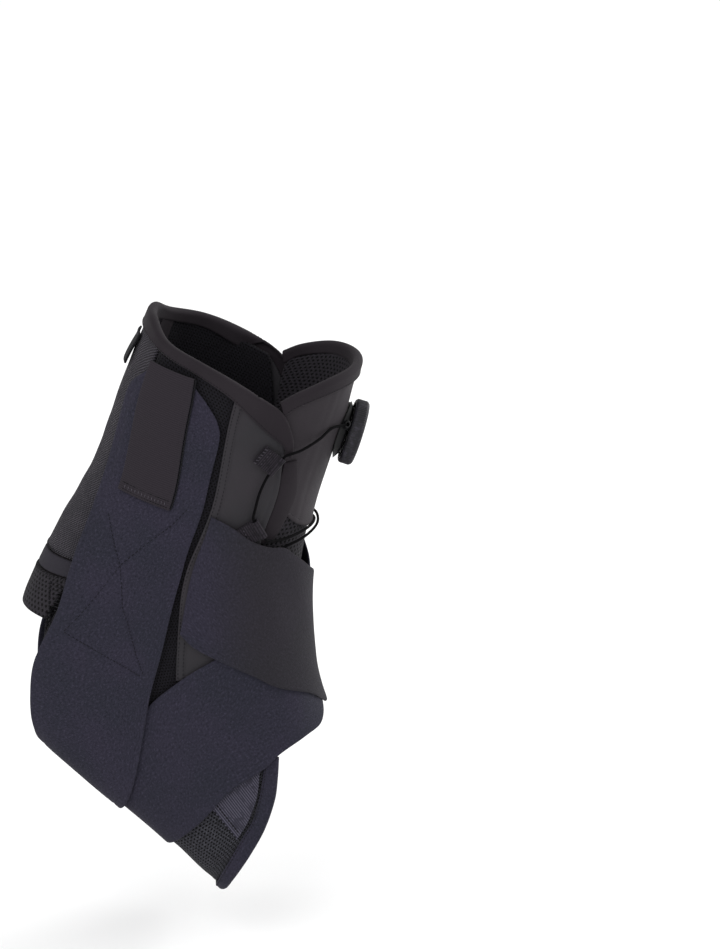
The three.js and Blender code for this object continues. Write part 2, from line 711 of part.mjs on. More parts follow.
function buildBrace() {
  const brace = new THREE.Group();
  brace.name = "ankle_brace";
  const strapMaterial = () => material(colours.strapCloth, 0.85);
  const add = (...args) => brace.add(cloth(...args));
  for (const [label, side] of [["lateral", -1], ["medial", 1]]) {
    add(`shell_${label}`, material(colours.shellMesh, 0.95), {
      rows: shellSideRows, section: evenSection(9, shellThickness), side, facet: hiddenFacetLength,
    });
    add(`front_panel_${label}`, material(colours.panelCloth, 0.8), {
      rows: frontPanelRows, section: evenSection(5, panelThickness), side, lift: onShell,
    });
    add(`gusset_${label}`, material(colours.ribbedElastic, 0.9), {
      rows: gussetRows, section: evenSection(3, gussetThickness), side, lift: onShell,
    });
    add(`hook_tab_${label}`, material(colours.tabWebbing, 0.9), {
      rows: hookTabRows, section: evenSection(4, tabThickness), side, lift: onShell + overStrap,
    });
    for (const [place, bore] of Object.entries(guideBores)) {
      brace.add(laceGuide(`lace_guide_${place}_${label}`, bore, side));
    }
  }
  add("heel_panel", material(colours.shellMesh, 0.95), {
    rows: heelPanelRows, section: evenSection(8, shellThickness),
  });
  add("heel_band", material(colours.panelCloth, 0.85), {
    rows: heelBandRows, section: evenSection(8, shellThickness + 0.3),
  });
  add("heel_mesh", material(colours.shellMesh, 0.95), {
    rows: heelMeshRows, section: evenSection(8, shellThickness),
  });
  add("sole_panel", material(colours.shellMesh, 0.95), {
    rows: soleRows, section: evenSection(8, shellThickness), facet: hiddenFacetLength,
  });
  add("tongue_base", material(colours.shellMesh, 0.95), {
    rows: tongueBaseRows, section: evenSection(9, tongueBaseThickness), facet: hiddenFacetLength,
  });
  add("tongue_pad", material(colours.tongueCloth, 0.85), {
    rows: tongueRows, section: evenSection(12, tonguePadThickness), lift: onBase,
  });
  add("tongue_binding", material(colours.bindingTape, 0.85), {
    rows: tongueBindingRows.map((row) => ({ ...row, fold: onBase + tonguePadThickness })),
    section: foldedSection(bindingThickness), lift: onBase + tonguePadThickness + clearance,
  });
  add("top_binding", material(colours.bindingTape, 0.85), {
    rows: wholeStrip(topBindingHalf), section: foldedSection(bindingThickness),
  });
  add("foot_binding", strapMaterial(), {
    rows: wholeStrip(footBindingHalf), section: foldedSection(bindingThickness), facet: tapeFacetLength,
  });
  add("instep_strap_over", strapMaterial(), { rows: overStrapRows, section: evenSection(7, strapThickness) });
  add("instep_strap_under", strapMaterial(), {
    rows: underStrapRows, section: evenSection(7, strapThickness), side: -1,
  });
  add("stirrup_strap", strapMaterial(), {
    rows: wholeStrip(stirrupHalf.slice().reverse()), section: evenSection(5, strapThickness),
  });
  add("pull_tab", material(colours.tabWebbing, 0.9), {
    rows: pullTabRows, section: evenSection(3, tabThickness), lift: onShell,
  });
  brace.add(lace(), dialBase(), dialRatchet(), dialKnob());
  return brace;
}

const group = buildBrace();
export default group;
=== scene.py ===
import bpy, bmesh, math
import numpy as np
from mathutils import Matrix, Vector


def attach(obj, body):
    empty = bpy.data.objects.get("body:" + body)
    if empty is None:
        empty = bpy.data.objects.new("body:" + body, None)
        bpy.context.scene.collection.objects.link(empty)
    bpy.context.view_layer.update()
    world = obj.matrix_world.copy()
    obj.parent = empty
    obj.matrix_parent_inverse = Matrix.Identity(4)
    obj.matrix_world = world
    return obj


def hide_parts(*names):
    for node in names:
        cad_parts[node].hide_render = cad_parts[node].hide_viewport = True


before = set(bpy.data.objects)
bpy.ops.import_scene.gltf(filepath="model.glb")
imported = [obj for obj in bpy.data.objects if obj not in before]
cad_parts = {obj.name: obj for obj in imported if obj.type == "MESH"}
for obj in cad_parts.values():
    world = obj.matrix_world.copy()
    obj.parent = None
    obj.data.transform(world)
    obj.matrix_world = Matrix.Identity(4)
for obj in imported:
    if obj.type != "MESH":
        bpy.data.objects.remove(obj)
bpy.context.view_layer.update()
mm = 0.001
print("stage: frame loaded")


# camera, lights and floor
view = {"elevation": 18.0, "distance": 2.2, "frameWidth": 0.32, "right": 0.0809, "up": 0.0611}
studio = {"floor": -0.146, "floorHalf": 6, "world": 1.0, "aim": (0.01, 0, 0), "lights": {  # power, size, place
    "key": (18.0, 1.6, (-0.9, -1.5, 1.3)), "fill": (4.0, 2.0, (1.2, -1.6, 0.5)), "rim": (19.0, 0.9, (1.5, 0.9, 0.7))}}


def makeCamera():
    lift = math.radians(view["elevation"])
    forward = Vector((0, math.cos(lift), -math.sin(lift)))
    upward = Vector((0, math.sin(lift), math.cos(lift)))
    target = Vector((view["right"], 0, 0)) + view["up"] * upward
    data = bpy.data.cameras.new("camera")
    data.sensor_fit = "HORIZONTAL"
    data.sensor_width = 36
    data.lens = 36 * view["distance"] / view["frameWidth"]
    data.clip_end = 30
    camera = bpy.data.objects.new("camera", data)
    camera.location = target - view["distance"] * forward
    camera.rotation_euler = (math.radians(90) - lift, 0, 0)
    bpy.context.scene.collection.objects.link(camera)
    bpy.context.scene.camera = camera


def makeLight(name, power, size, place):
    data = bpy.data.lights.new(name, "AREA")
    data.energy, data.size = power, size
    lamp = bpy.data.objects.new(name, data)
    lamp.location = place
    lamp.rotation_euler = (Vector(studio["aim"]) - Vector(place)).to_track_quat("-Z", "Y").to_euler()
    bpy.context.scene.collection.objects.link(lamp)


# shader maths
class Socket:  # one output of a node, with arithmetic
    def __init__(self, finish, link):
        self.finish, self.link = finish, link

    def combine(self, operation, *values):
        return self.finish.node("ShaderNodeMath", {"operation": operation}, dict(enumerate(values)))

    def __add__(self, other): return self.combine("ADD", self, other)
    def __radd__(self, other): return self.combine("ADD", other, self)
    def __sub__(self, other): return self.combine("SUBTRACT", self, other)
    def __rsub__(self, other): return self.combine("SUBTRACT", other, self)
    def __mul__(self, other): return self.combine("MULTIPLY", self, other)
    def __rmul__(self, other): return self.combine("MULTIPLY", other, self)
    def sine(self): return self.combine("SINE", self)
    def absolute(self): return self.combine("ABSOLUTE", self)
    def step(self, low, high):  # smooth 0 to 1 between two values
        return self.finish.node("ShaderNodeMapRange", {"interpolation_type": "SMOOTHSTEP"},
                                {"Value": self, "From Min": low, "From Max": high})


class Finish:  # one material
    def __init__(self, name, roughness=0.8, sheen=0.0, specular=0.5):
        self.material = bpy.data.materials.new(name)
        self.material.use_nodes = True
        self.tree = self.material.node_tree
        self.shader = self.tree.nodes["Principled BSDF"]
        for key, value in (("Roughness", roughness), ("Sheen Weight", sheen), ("Sheen Roughness", 0.45),
                           ("Specular IOR Level", specular)):
            self.shader.inputs[key].default_value = value

    def node(self, kind, settings=None, inputs=None, output=0):
        made = self.tree.nodes.new(kind)
        for key, value in (settings or {}).items(): setattr(made, key, value)
        for key, value in (inputs or {}).items(): self.feed(made.inputs[key], value)
        return Socket(self, made.outputs[output])

    def feed(self, target, value):  # a link, or a value on the socket itself
        if isinstance(value, Socket):
            self.tree.links.new(value.link, target)
        else:
            target.default_value = (*value, 1) if target.type == "RGBA" else value

    def split(self, vector):
        parts = self.node("ShaderNodeSeparateXYZ", {}, {"Vector": vector})
        return [Socket(self, parts.link.node.outputs[i]) for i in range(3)]

    def mix(self, factor, first, second):  # two colours
        return self.node("ShaderNodeMix", {"data_type": "RGBA"}, {0: factor, 6: first, 7: second}, output=2)

    def flat(self):  # the cloth's own flat coordinates, in millimetres
        uv = self.node("ShaderNodeUVMap", {"uv_map": "flat"})
        return self.node("ShaderNodeVectorMath", {"operation": "SCALE"}, {0: uv, "Scale": 1000.0})

    def place(self):  # object coordinates in millimetres
        at = self.node("ShaderNodeTexCoord", {}, {}, output=3)
        return self.node("ShaderNodeVectorMath", {"operation": "SCALE"}, {0: at, "Scale": 1000.0})

    def cloud(self, vector, scale, detail=3.0, roughness=0.55):
        return self.node("ShaderNodeTexNoise", {}, {"Vector": vector, "Scale": scale, "Detail": detail,
                                                   "Roughness": roughness})

    def finish(self, colour, height=None, depth=0.0, strength=1.0, roughness=None):  # height and depth make the bump
        self.feed(self.shader.inputs["Base Color"], colour)
        if roughness is not None: self.feed(self.shader.inputs["Roughness"], roughness)
        if height is not None:
            bump = {"Height": height, "Distance": depth * mm, "Strength": strength}
            self.feed(self.shader.inputs["Normal"], self.node("ShaderNodeBump", {}, bump))
        return self.material


def shade(red, green, blue):  # linear colour from a 0-255 screen colour
    return tuple(((c / 255 + 0.055) / 1.055) ** 2.4 if c > 10.3 else c / 255 / 12.92 for c in (red, green, blue))


# the worn form that the cloth lies on
form = {"legRise": 127, "footDrop": 92, "footReach": 45.5, "ankleDepth": 104, "ankleWidth": 76,
        "soleSlope": 42.2, "soleDepth": 77, "soleRound": 7}
# forward, up, tilt, front, back, side, frontRound, backRound, sole
formSections = np.array([
    [0.762, 1.0, -12.5, 0.431, 0.431, 0.54, 2.1, 2.1, 1],
    [0.567, 0.79, -12, 0.448, 0.452, 0.513, 2.1, 2.0, 1],
    [0.385, 0.505, -8, 0.419, 0.502, 0.475, 2.1, 1.9, 1],
    [0.105, 0.26, -2, 0.481, 0.565, 0.475, 2.1, 1.9, 1],
    [0.066, 0.047, 8, 0.481, 0.699, 0.493, 2.1, 2.1, 0.98],
    [0.132, -0.239, 19.7, 0.481, 0.745, 0.487, 2.1, 2.6, 0.965],
    [0.264, -0.5, 30.6, 0.474, 0.56, 0.487, 2.1, 3.0, 0.965],
    [0.549, -0.703, 41.9, 0.413, 0.46, 0.5, 2.1, 3.2, 0.975],
    [0.802, -0.872, 50, 0.367, 0.42, 0.52, 2.1, 3.2, 0.995],
    [1.0, -1.0, 54.7, 0.341, 0.39, 0.54, 2.1, 3.2, 1.015],
])


def between(rows, at):  # smooth values between the rows of a table
    last = len(rows) - 1
    i = np.clip(np.floor(at).astype(int), 0, last - 1)
    t = (at - i)[:, None]
    b, c = rows[i], rows[i + 1]
    a = np.where((i > 0)[:, None], rows[np.maximum(i - 1, 0)], 2 * b - c)
    d = np.where((i < last - 1)[:, None], rows[np.minimum(i + 2, last)], 2 * c - b)
    slopeB, slopeC = (c - a) / 2, (d - b) / 2
    curve = (2 * b - 2 * c + slopeB + slopeC) * t + (3 * c - 3 * b - 2 * slopeB - slopeC)
    return (curve * t + slopeB) * t + b


def formSkin(down, around):  # points of the bare form in mm
    value = between(formSections, down / 100 * (len(formSections) - 1))
    forward, up, tilt, front, back, side, frontRound, backRound, sole = value.T
    tilt = np.radians(tilt)
    ahead, aside = np.cos(np.radians(around)), np.sin(np.radians(around))
    depth = form["ankleDepth"] * np.where(ahead > 0, front, back)
    width = form["ankleWidth"] * side
    fullness = np.where(ahead > 0, frontRound, backRound)
    reach = ((np.abs(ahead) / depth) ** fullness + (np.abs(aside) / width) ** fullness) ** (-1 / fullness)
    x = forward * form["footReach"] + reach * ahead * np.cos(tilt)
    y = reach * aside
    z = up * np.where(up > 0, form["legRise"], form["footDrop"]) + reach * ahead * np.sin(tilt)
    slope = math.radians(form["soleSlope"])
    away = np.array([-math.sin(slope), 0, -math.cos(slope)])
    past = x * away[0] + z * away[2] - sole * form["soleDepth"]
    turn = form["soleRound"]
    held = np.where(past >= turn, past, np.where(past <= -turn, 0, (past + turn) ** 2 / (4 * turn)))
    return np.stack([x - held * away[0], y, z - held * away[2]], 1)


def onForm(down, around, lift=0.0):  # points at a height above the form, and outward directions
    down, around = np.atleast_1d(np.asarray(down, float)), np.atleast_1d(np.asarray(around, float))
    down, around = np.broadcast_arrays(down, around)
    along = formSkin(down + 0.2, around) - formSkin(down - 0.2, around)
    across = formSkin(down, around + 0.2) - formSkin(down, around - 0.2)
    outward = np.cross(along, across)
    outward /= np.linalg.norm(outward, axis=1)[:, None]
    return formSkin(down, around) + outward * np.reshape(lift, (-1, 1)), outward


cloth = {"clearance": 0.6, "shell": 2.2, "tongueBase": 1.0, "tonguePad": 0.8, "panel": 1.2, "strap": 1.2,
         "tab": 1.1, "binding": 0.9, "gusset": 0.8}
onBase = cloth["tongueBase"] + cloth["clearance"]
onShell = cloth["shell"] + cloth["clearance"]
onPanel = onShell + cloth["panel"] + cloth["clearance"]
overStrap = cloth["strap"] + cloth["clearance"] + 0.15
overInstep = onShell + overStrap + 0.3

cutEdge = {"flat": 0.15, "folded": 0.2}  # share of the thickness that is left at a cut edge


# cloth laid on the form
class Strip:  # cloth between two edges given in rows down the form
    def __init__(self, columns, rows, side=1, lift=0.0):
        self.names = columns.split()
        self.rows = np.array(rows, float)
        self.side, self.lift = side, lift
        probe = np.linspace(0, len(self.rows) - 1, 400)
        self.probe = probe
        edges = [self.spot(probe, np.full(400, v), 0.0)[0] for v in (0.0, 0.5, 1.0)]
        self.run = runAlong(edges[1])
        self.length = self.run[-1]
        self.widths = np.linalg.norm(edges[1] - edges[0], axis=1) + np.linalg.norm(edges[2] - edges[1], axis=1)

    def column(self, name, at):
        if name not in self.names: return np.zeros(len(at))
        return between(self.rows[:, [self.names.index(name)]], at)[:, 0]

    def spot(self, at, v, height):  # row place, share across, height -> points and outward directions
        bow = self.column("bow", at) * (1 - (2 * v - 1) ** 2)
        down = self.column("down", at) * (1 - v) + self.column("endDown", at) * v + bow
        around = self.column("around", at) * (1 - v) + self.column("endAround", at) * v
        around = self.side * (around + self.column("turnBow", at) * (1 - (2 * v - 1) ** 2))
        lift = self.column("lift", at)
        endLift = self.column("endLift", at) if "endLift" in self.names else lift
        return onForm(down, around, self.lift + lift * (1 - v) + endLift * v + height)

    def rowAt(self, run):  # length along the strip -> row place
        return np.interp(run, self.run, self.probe)

    def widthAt(self, run):
        return np.interp(run, self.run, self.widths)


def wholeStrip(half):  # the mirrored half joined to the half, through the front or the back
    half = [list(row) for row in half]
    turn = 360 if half[0][1] == 180 else 0
    far = [[row[0], turn - row[1], row[2], turn - row[3], *row[4:]] for row in half[1:]]
    return half[::-1] + far


def filled(rows, *usual):  # the usual values after the four of each row that leaves them out
    return [[*row, *usual[len(row) - 4:]] for row in rows]


def runAlong(points):  # length along a line up to each point
    return np.concatenate([[0], np.cumsum(np.linalg.norm(np.diff(points, axis=0), axis=1))])


def gridPlaces(length, spacing, edge):  # places along a length, closer at both ends
    near = [0, 0.08, 0.25, 0.55, 1.0]
    inner = length - 2 * edge
    count = max(1, round(inner / spacing))
    middle = [edge + inner * k / count for k in range(count + 1)]
    start = [edge * n for n in near[:-1]]
    return np.array(start + middle + [length - s for s in reversed(start)])


def newPiece(name, bm, finish, body="brace"):  # ends a bmesh as a smooth piece that rides a body
    mesh = bpy.data.meshes.new(name)
    bm.to_mesh(mesh)
    bm.free()
    piece = bpy.data.objects.new(name, mesh)
    bpy.context.scene.collection.objects.link(piece)
    mesh.materials.append(finishes[finish])
    for face in mesh.polygons: face.use_smooth = True
    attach(piece, body)
    return piece


def standIn(piece, node):  # takes a CAD node's place
    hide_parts(node)
    return piece


def border(distance, radius):  # 0 at a cut edge, 1 where the rounding ends
    return np.sqrt(np.clip(1 - (1 - np.clip(distance / radius, 0, 1)) ** 2, 0, 1))


def unitSlab(n, m):  # a closed slab of n by m faces, with its grid numbers and its side, 0 or 1
    bm = bmesh.new()
    bmesh.ops.create_grid(bm, x_segments=n, y_segments=m, size=0.5)
    top = bmesh.ops.extrude_face_region(bm, geom=bm.faces[:], use_keep_orig=True)["geom"]
    bmesh.ops.translate(bm, vec=(0, 0, 1), verts=[g for g in top if isinstance(g, bmesh.types.BMVert)])
    bm.verts.ensure_lookup_table()
    co = np.array([v.co for v in bm.verts])
    return bm, np.rint((co[:, 0] + 0.5) * n).astype(int), np.rint((co[:, 1] + 0.5) * m).astype(int), co[:, 2]


def shape(bm, points, flat=None):  # places and flat coordinates of the vertices, in millimetres
    for vert, point in zip(bm.verts, points * mm): vert.co = point
    if flat is None: return
    layer = bm.loops.layers.uv.new("flat")
    for face in bm.faces:
        for loop in face.loops: loop[layer].uv = flat[loop.vert.index] * mm


def closeSlab(bm, points, flat, name, finish):
    shape(bm, points, flat)
    bmesh.ops.recalc_face_normals(bm, faces=bm.faces[:])
    return newPiece(name, bm, finish)


def slab(name, strip, thickness, spacing, finish, relief=None, radius=None):  # cloth of one thickness
    radius = radius or thickness / 2
    width = strip.widths.max()
    runs = gridPlaces(strip.length, spacing, radius)
    shares = gridPlaces(width, spacing, radius) / width
    bm, i, j, side = unitSlab(len(runs) - 1, len(shares) - 1)
    run, share = runs[i], shares[j]
    distance = np.minimum(np.minimum(share, 1 - share) * width, np.minimum(run, strip.length - run))
    full = cutEdge["flat"] + (1 - cutEdge["flat"]) * border(distance, radius)
    height = thickness / 2 + (2 * side - 1) * thickness / 2 * full
    local = strip.widthAt(run)
    across = (share - 0.5) * local
    if relief: height += side * relief(run, across, local) * border(distance, 2 * radius)
    points = strip.spot(strip.rowAt(run), share, height)[0]
    return closeSlab(bm, points, np.stack([run, across], 1), name, finish)


def clothFor(node, kind, slot, *made):  # a slab in a CAD node's place
    return standIn(slab(f"{node}_{kind}", *made), node)


def tape(name, strip, thickness, spacing, finish):  # tape folded over an edge
    count, inner = 26, 0.8  # faces across, and the inner leg's share of the outer leg
    runs = gridPlaces(strip.length, spacing, thickness / 2)
    bm, i, j, side = unitSlab(len(runs) - 1, count)
    run = runs[i]
    at = strip.rowAt(run)
    width, fold = strip.widthAt(run), strip.column("fold", at) + strip.foldLift
    turn = (fold + thickness) / 2
    leg = np.clip((fold - 1) / 1.8, 0, 1) * inner * width
    path = np.pi * turn
    total = width - turn + path + leg
    along = j / count * total  # from the outer leg's free edge, round the fold, to the inner leg's
    bend = np.clip((along - (width - turn)) / path, 0, 1) * np.pi
    across = np.where(along < width - turn, width - along, turn - turn * np.sin(bend))
    across = across + np.clip(along - (width - turn) - path, 0, None)
    middle = thickness / 2 - turn + turn * np.cos(bend)
    distance = np.minimum(np.minimum(along, total - along), np.minimum(run, strip.length - run))
    full = cutEdge["folded"] + (1 - cutEdge["folded"]) * border(distance, thickness / 2)
    offset = (side - 0.5) * thickness * full
    height = middle + offset * np.cos(bend)
    share = (across - offset * np.sin(bend)) / width
    points = strip.spot(at, share, height)[0]
    return closeSlab(bm, points, np.stack([run, along], 1), name, finish)


def sewn(name, threads, radius, finish="thread"):  # thread stitches, each with two ends and its outward direction
    bm = bmesh.new()
    for start, stop, out in threads:
        ahead = stop - start
        size = np.linalg.norm(ahead)
        if size < 0.1: continue
        ahead = ahead / size
        out = out - ahead * out.dot(ahead)
        out = out / np.linalg.norm(out)
        turn = np.stack([ahead * size / 2, np.cross(out, ahead) * radius, out * radius])
        made = bmesh.ops.create_icosphere(bm, subdivisions=1, radius=1)["verts"]
        for vert in made: vert.co = Vector(((start + stop) / 2 + np.array(vert.co) @ turn) * mm)
    piece = newPiece(name, bm, finish)
    return piece


def dense(points, spacing=1.0):  # more points along a flat polyline
    points = np.asarray(points, float)
    run = runAlong(points)
    at = np.linspace(0, run[-1], max(2, int(run[-1] / spacing)))
    return np.stack([np.interp(at, run, points[:, 0]), np.interp(at, run, points[:, 1])], 1)


def onStrip(strip, run, across, height):  # points and outward directions at a strip's flat coordinates
    run, across = np.broadcast_arrays(np.asarray(run, float), np.asarray(across, float))
    return strip.spot(strip.rowAt(run), across / strip.widthAt(run) + 0.5, height)


def seam(strip, line, height, pitch=1.7, length=1.2):  # stitches along a flat polyline
    spots = dense(line, pitch / 2)
    points, outward = onStrip(strip, spots[:, 0], spots[:, 1], height)
    share = length / pitch
    threads = []
    for k in range(0, len(points) - 2, 2):
        middle, reach = points[k + 1], (points[k + 2] - points[k]) / 2 * share
        threads.append((middle - reach, middle + reach, outward[k + 1]))
    return threads


def bars(strip, line, height, pitch=1.4, length=1.8, slant=0.0):  # short stitches across a flat polyline
    spots = dense(line, pitch)
    ahead = np.gradient(spots, axis=0)
    ahead /= np.linalg.norm(ahead, axis=1)[:, None]
    beside = np.stack([-ahead[:, 1], ahead[:, 0]], 1) * length / 2 + ahead * slant
    low, outward = onStrip(strip, *(spots - beside).T, height)
    high = onStrip(strip, *(spots + beside).T, height)[0]
    return list(zip(low, high, outward))


def edgeLine(strip, inset, edge=1, first=0.5, last=0.5):  # flat line along one long edge of a strip
    run = np.linspace(first, strip.length - last, 60)
    return np.stack([run, edge * (strip.widthAt(run) / 2 - inset)], 1)


def endLine(strip, inset, first=0.8, last=0.8):  # flat line along the last end of a strip
    run = strip.length - inset
    half = strip.widthAt(np.array([run]))[0] / 2
    return np.array([[run, -half + first], [run, half - last]])


def grooves(lines, depth, width):  # relief that sinks along flat polylines
    parts = [dense(line, 0.8) for line in lines]

    def relief(run, across, local):
        spots = np.stack([run, across], 1)
        nearest = np.full(len(spots), 1e9)
        for part in parts:
            for k in range(0, len(part), 64):
                gap = np.linalg.norm(spots[:, None, :] - part[None, k:k + 64, :], axis=2).min(axis=1)
                nearest = np.minimum(nearest, gap)
        return -depth * np.exp(-(nearest / width) ** 2)
    return relief


def hem(inset, rise, edge=1):  # relief of a doubled edge with its groove
    def relief(run, across, local):
        inside = local / 2 - edge * across
        return rise * np.clip((inset + 0.3 - inside) / 0.6, 0, 1) - 0.25 * np.exp(-((inside - inset - 0.45) / 0.4) ** 2)
    return relief


def foldRelief(strip, length, rise):  # relief of a doubled end
    return lambda run, across, local: rise * np.clip((run - strip.length + length) / 0.4, 0, 1)


def waves(seed, size, depth):  # slow unevenness of worn cloth
    chance = np.random.default_rng(seed)
    turns = chance.uniform(0, 2 * np.pi, (7, 2))
    pace = chance.uniform(0.6, 1.5, 7) * 2 * np.pi / size

    def relief(run, across, local):
        total = 0
        for (lean, start), k in zip(turns, pace):
            total = total + np.sin((run * np.cos(lean) + across * np.sin(lean)) * k + start)
        return depth * total / 3
    return relief


def together(*reliefs):
    return lambda run, across, local: sum(relief(run, across, local) for relief in reliefs)


def flatSpot(strip, down, around):  # flat coordinates of a place given on the form
    target = onForm(down, around, strip.lift)[0][0]
    runs, shares = np.meshgrid(np.linspace(0, strip.length, 160), np.linspace(0, 1, 60), indexing="ij")
    points = strip.spot(strip.rowAt(runs.ravel()), shares.ravel(), 0.0)[0]
    best = np.linalg.norm(points - target, axis=1).argmin()
    run, share = runs.ravel()[best], shares.ravel()[best]
    return [run, (share - 0.5) * strip.widthAt(np.array([run]))[0]]


def declare(strip, extra=0.0):  # the cut area of a strip's cloth, worked out but not used
    widths = strip.widths + extra
    area = float(np.sum((widths[1:] + widths[:-1]) / 2 * np.diff(strip.run)))


# finishes
def strapFinish(name, warmLightFrom=None):  # where along X the greyer tint toward the toe starts and where it is full; this tint is painted warm light
    f = Finish(name, roughness=0.95, sheen=0.03, specular=0.08)
    at, flat = f.place(), f.flat()
    x, y, z = f.split(flat)
    patches = f.cloud(at, 0.03, 2)
    pile = f.cloud(flat, 0.9, 4, 0.75)
    loops = f.cloud(flat, 0.35, 2, 0.5)
    lines = (x * 5.2 + loops * 6).sine() * (y * 5.2).sine()
    colour = f.mix(patches.step(0.35, 0.65), shade(36, 36, 45), shade(40, 38, 49))
    colour = f.mix(pile.step(0.5, 0.75) * 0.7, colour, shade(62, 59, 74))
    colour = f.mix(pile.step(0.5, 0.28) * 0.75, colour, shade(20, 19, 26))
    colour = f.mix(loops.step(0.55, 0.75) * 0.25, colour, shade(50, 46, 60))
    # painted light: the greyer, warmer tint toward the toe stands for the warm light on the strap's front
    if warmLightFrom:
        warmLightMask = f.split(at)[0].step(*warmLightFrom)
        colour = f.mix(warmLightMask * 0.6, colour, f.mix(pile, shade(26, 25, 25), shade(46, 43, 44)))
    height = pile * 0.7 + lines * 0.12 + loops * 0.5
    return f.finish(colour, height, 0.35, 0.8)


def holeCells(f, x, y, pitch):  # staggered round holes, highest in a hole
    k = 2 * math.pi / pitch
    cells = [x * k, x * (k / 2) + y * (k * 0.866), x * (-k / 2) + y * (k * 0.866)]
    wobble = f.cloud(f.place(), 0.6, 2)
    ridges = [(c + (wobble - 0.5) * 0.9 + math.pi / 2).sine() for c in cells]
    return ridges[0] + ridges[1] + ridges[2]


def netFinish(name, pitch, thread, hole, low=0.4, high=1.3, depth=0.5, toe=None):
    f = Finish(name, roughness=0.92, sheen=0.02, specular=0.12)
    x, y, z = f.split(f.flat())
    holes = holeCells(f, x, y, pitch).step(low, high)
    grain = f.cloud(f.place(), 1.8, 3)
    colour = f.mix(holes, f.mix(grain.step(0.35, 0.7), thread, tuple(c * 1.7 for c in thread)), hole)
    height = 1 - holes + grain * 0.3
    if toe:  # a lighter net past a length along the wall
        start, toePitch, toeThread, toeHole = toe
        toeHoles = holeCells(f, x, y * 0.85, toePitch).step(0.0, 1.5)
        toeLight = tuple(c * 2.6 for c in toeThread)
        toeColour = f.mix(toeHoles, f.mix(grain.step(0.4, 0.65), toeThread, toeLight), toeHole)
        past = x.step(start - 0.4, start + 0.4)
        colour = f.mix(past, colour, toeColour)
        height = height * (1 - past) + (1 - toeHoles + grain * 0.3) * past
    return f.finish(colour, height, depth)


def hatchFinish():
    f = Finish("diagonal rib knit", roughness=0.9, sheen=0.03, specular=0.15)
    x, y, z = f.split(f.flat())
    wobble = f.cloud(f.place(), 0.5, 2)
    ribs = ((x + y) * 4.1 + wobble * 2.5).sine()
    steps = ((x - y) * 5.2 + wobble * 3).sine()
    patches = f.cloud(f.place(), 0.12, 2).step(0.45, 0.6)
    height = ribs * 0.6 + steps * 0.45
    colour = f.mix(height.step(-0.5, 0.6), shade(17, 16, 20), shade(66, 62, 70))
    colour = f.mix(patches * 0.5, colour, shade(36, 34, 40))
    return f.finish(colour, height, 0.35)


def smoothFinish(name, base, light, roughness=0.75, grain=0.05, specular=0.15):
    f = Finish(name, roughness=roughness, sheen=0.02, specular=specular)
    at = f.place()
    broad = f.cloud(at, 0.03, 2)
    fine = f.cloud(at, 2.4, 3, 0.6)
    x, y, z = f.split(f.flat())
    knit = (x * 9.0).sine() * (y * 9.0).sine()
    colour = f.mix(broad.step(0.3, 0.7), base, light)
    colour = f.mix(fine.step(0.5, 0.8) * 0.35, colour, tuple(min(1, c * 1.5) for c in light))
    return f.finish(colour, fine + broad * 2 + knit * 0.4, grain, roughness=roughness + (fine - 0.5) * 0.15)


def ribFinish(name, base, light, pitch, along=0, depth=0.18, contrast=(0.2, 0.8), skip=None):
    f = Finish(name, roughness=0.9, sheen=0.03, specular=0.12)
    parts = f.split(f.flat())
    at = f.place()
    wobble = f.cloud(at, 0.25, 2)
    wave = (parts[along] * (2 * math.pi / pitch) + wobble * 0.8).sine() * 0.5 + 0.5
    cross = (parts[1 - along] * (2 * math.pi / 0.9)).sine() * 0.5 + 0.5
    height = wave * 0.8 + cross * 0.2
    shown = height.step(*contrast)
    if skip: shown = shown * (1 - f.cloud(at, skip, 2).step(0.5, 0.62) * 0.8)
    colour = f.mix(shown, base, light)
    colour = f.mix(f.cloud(at, 1.4, 3).step(0.5, 0.8) * 0.3, colour, base)
    return f.finish(colour, height, depth)


def cordFinish():
    f = Finish("braided cord", roughness=0.9, specular=0.06)
    x, y, z = f.split(f.flat())
    braid = ((x * 4 + y * 3.3).sine() * (x * 4 - y * 3.3).sine()).absolute()
    return f.finish(f.mix(braid, shade(3, 3, 4), shade(12, 11, 13)), braid, 0.12)


def plasticFinish(name, base, light, roughness, speckle, specular):
    f = Finish(name, roughness=roughness, specular=specular)
    at = f.place()
    fine = f.cloud(at, 3.5, 3, 0.6)
    scuff = f.cloud(at, 0.5, 4, 0.8)
    colour = f.mix(scuff.step(0.45, 0.75) * speckle, base, light)
    return f.finish(colour, fine, 0.04, roughness=roughness + (scuff - 0.5) * 0.2)


def threadFinish(name, base, light):
    f = Finish(name, roughness=0.8, specular=0.2)
    return f.finish(f.mix(f.cloud(f.place(), 1.5, 2), base, light))


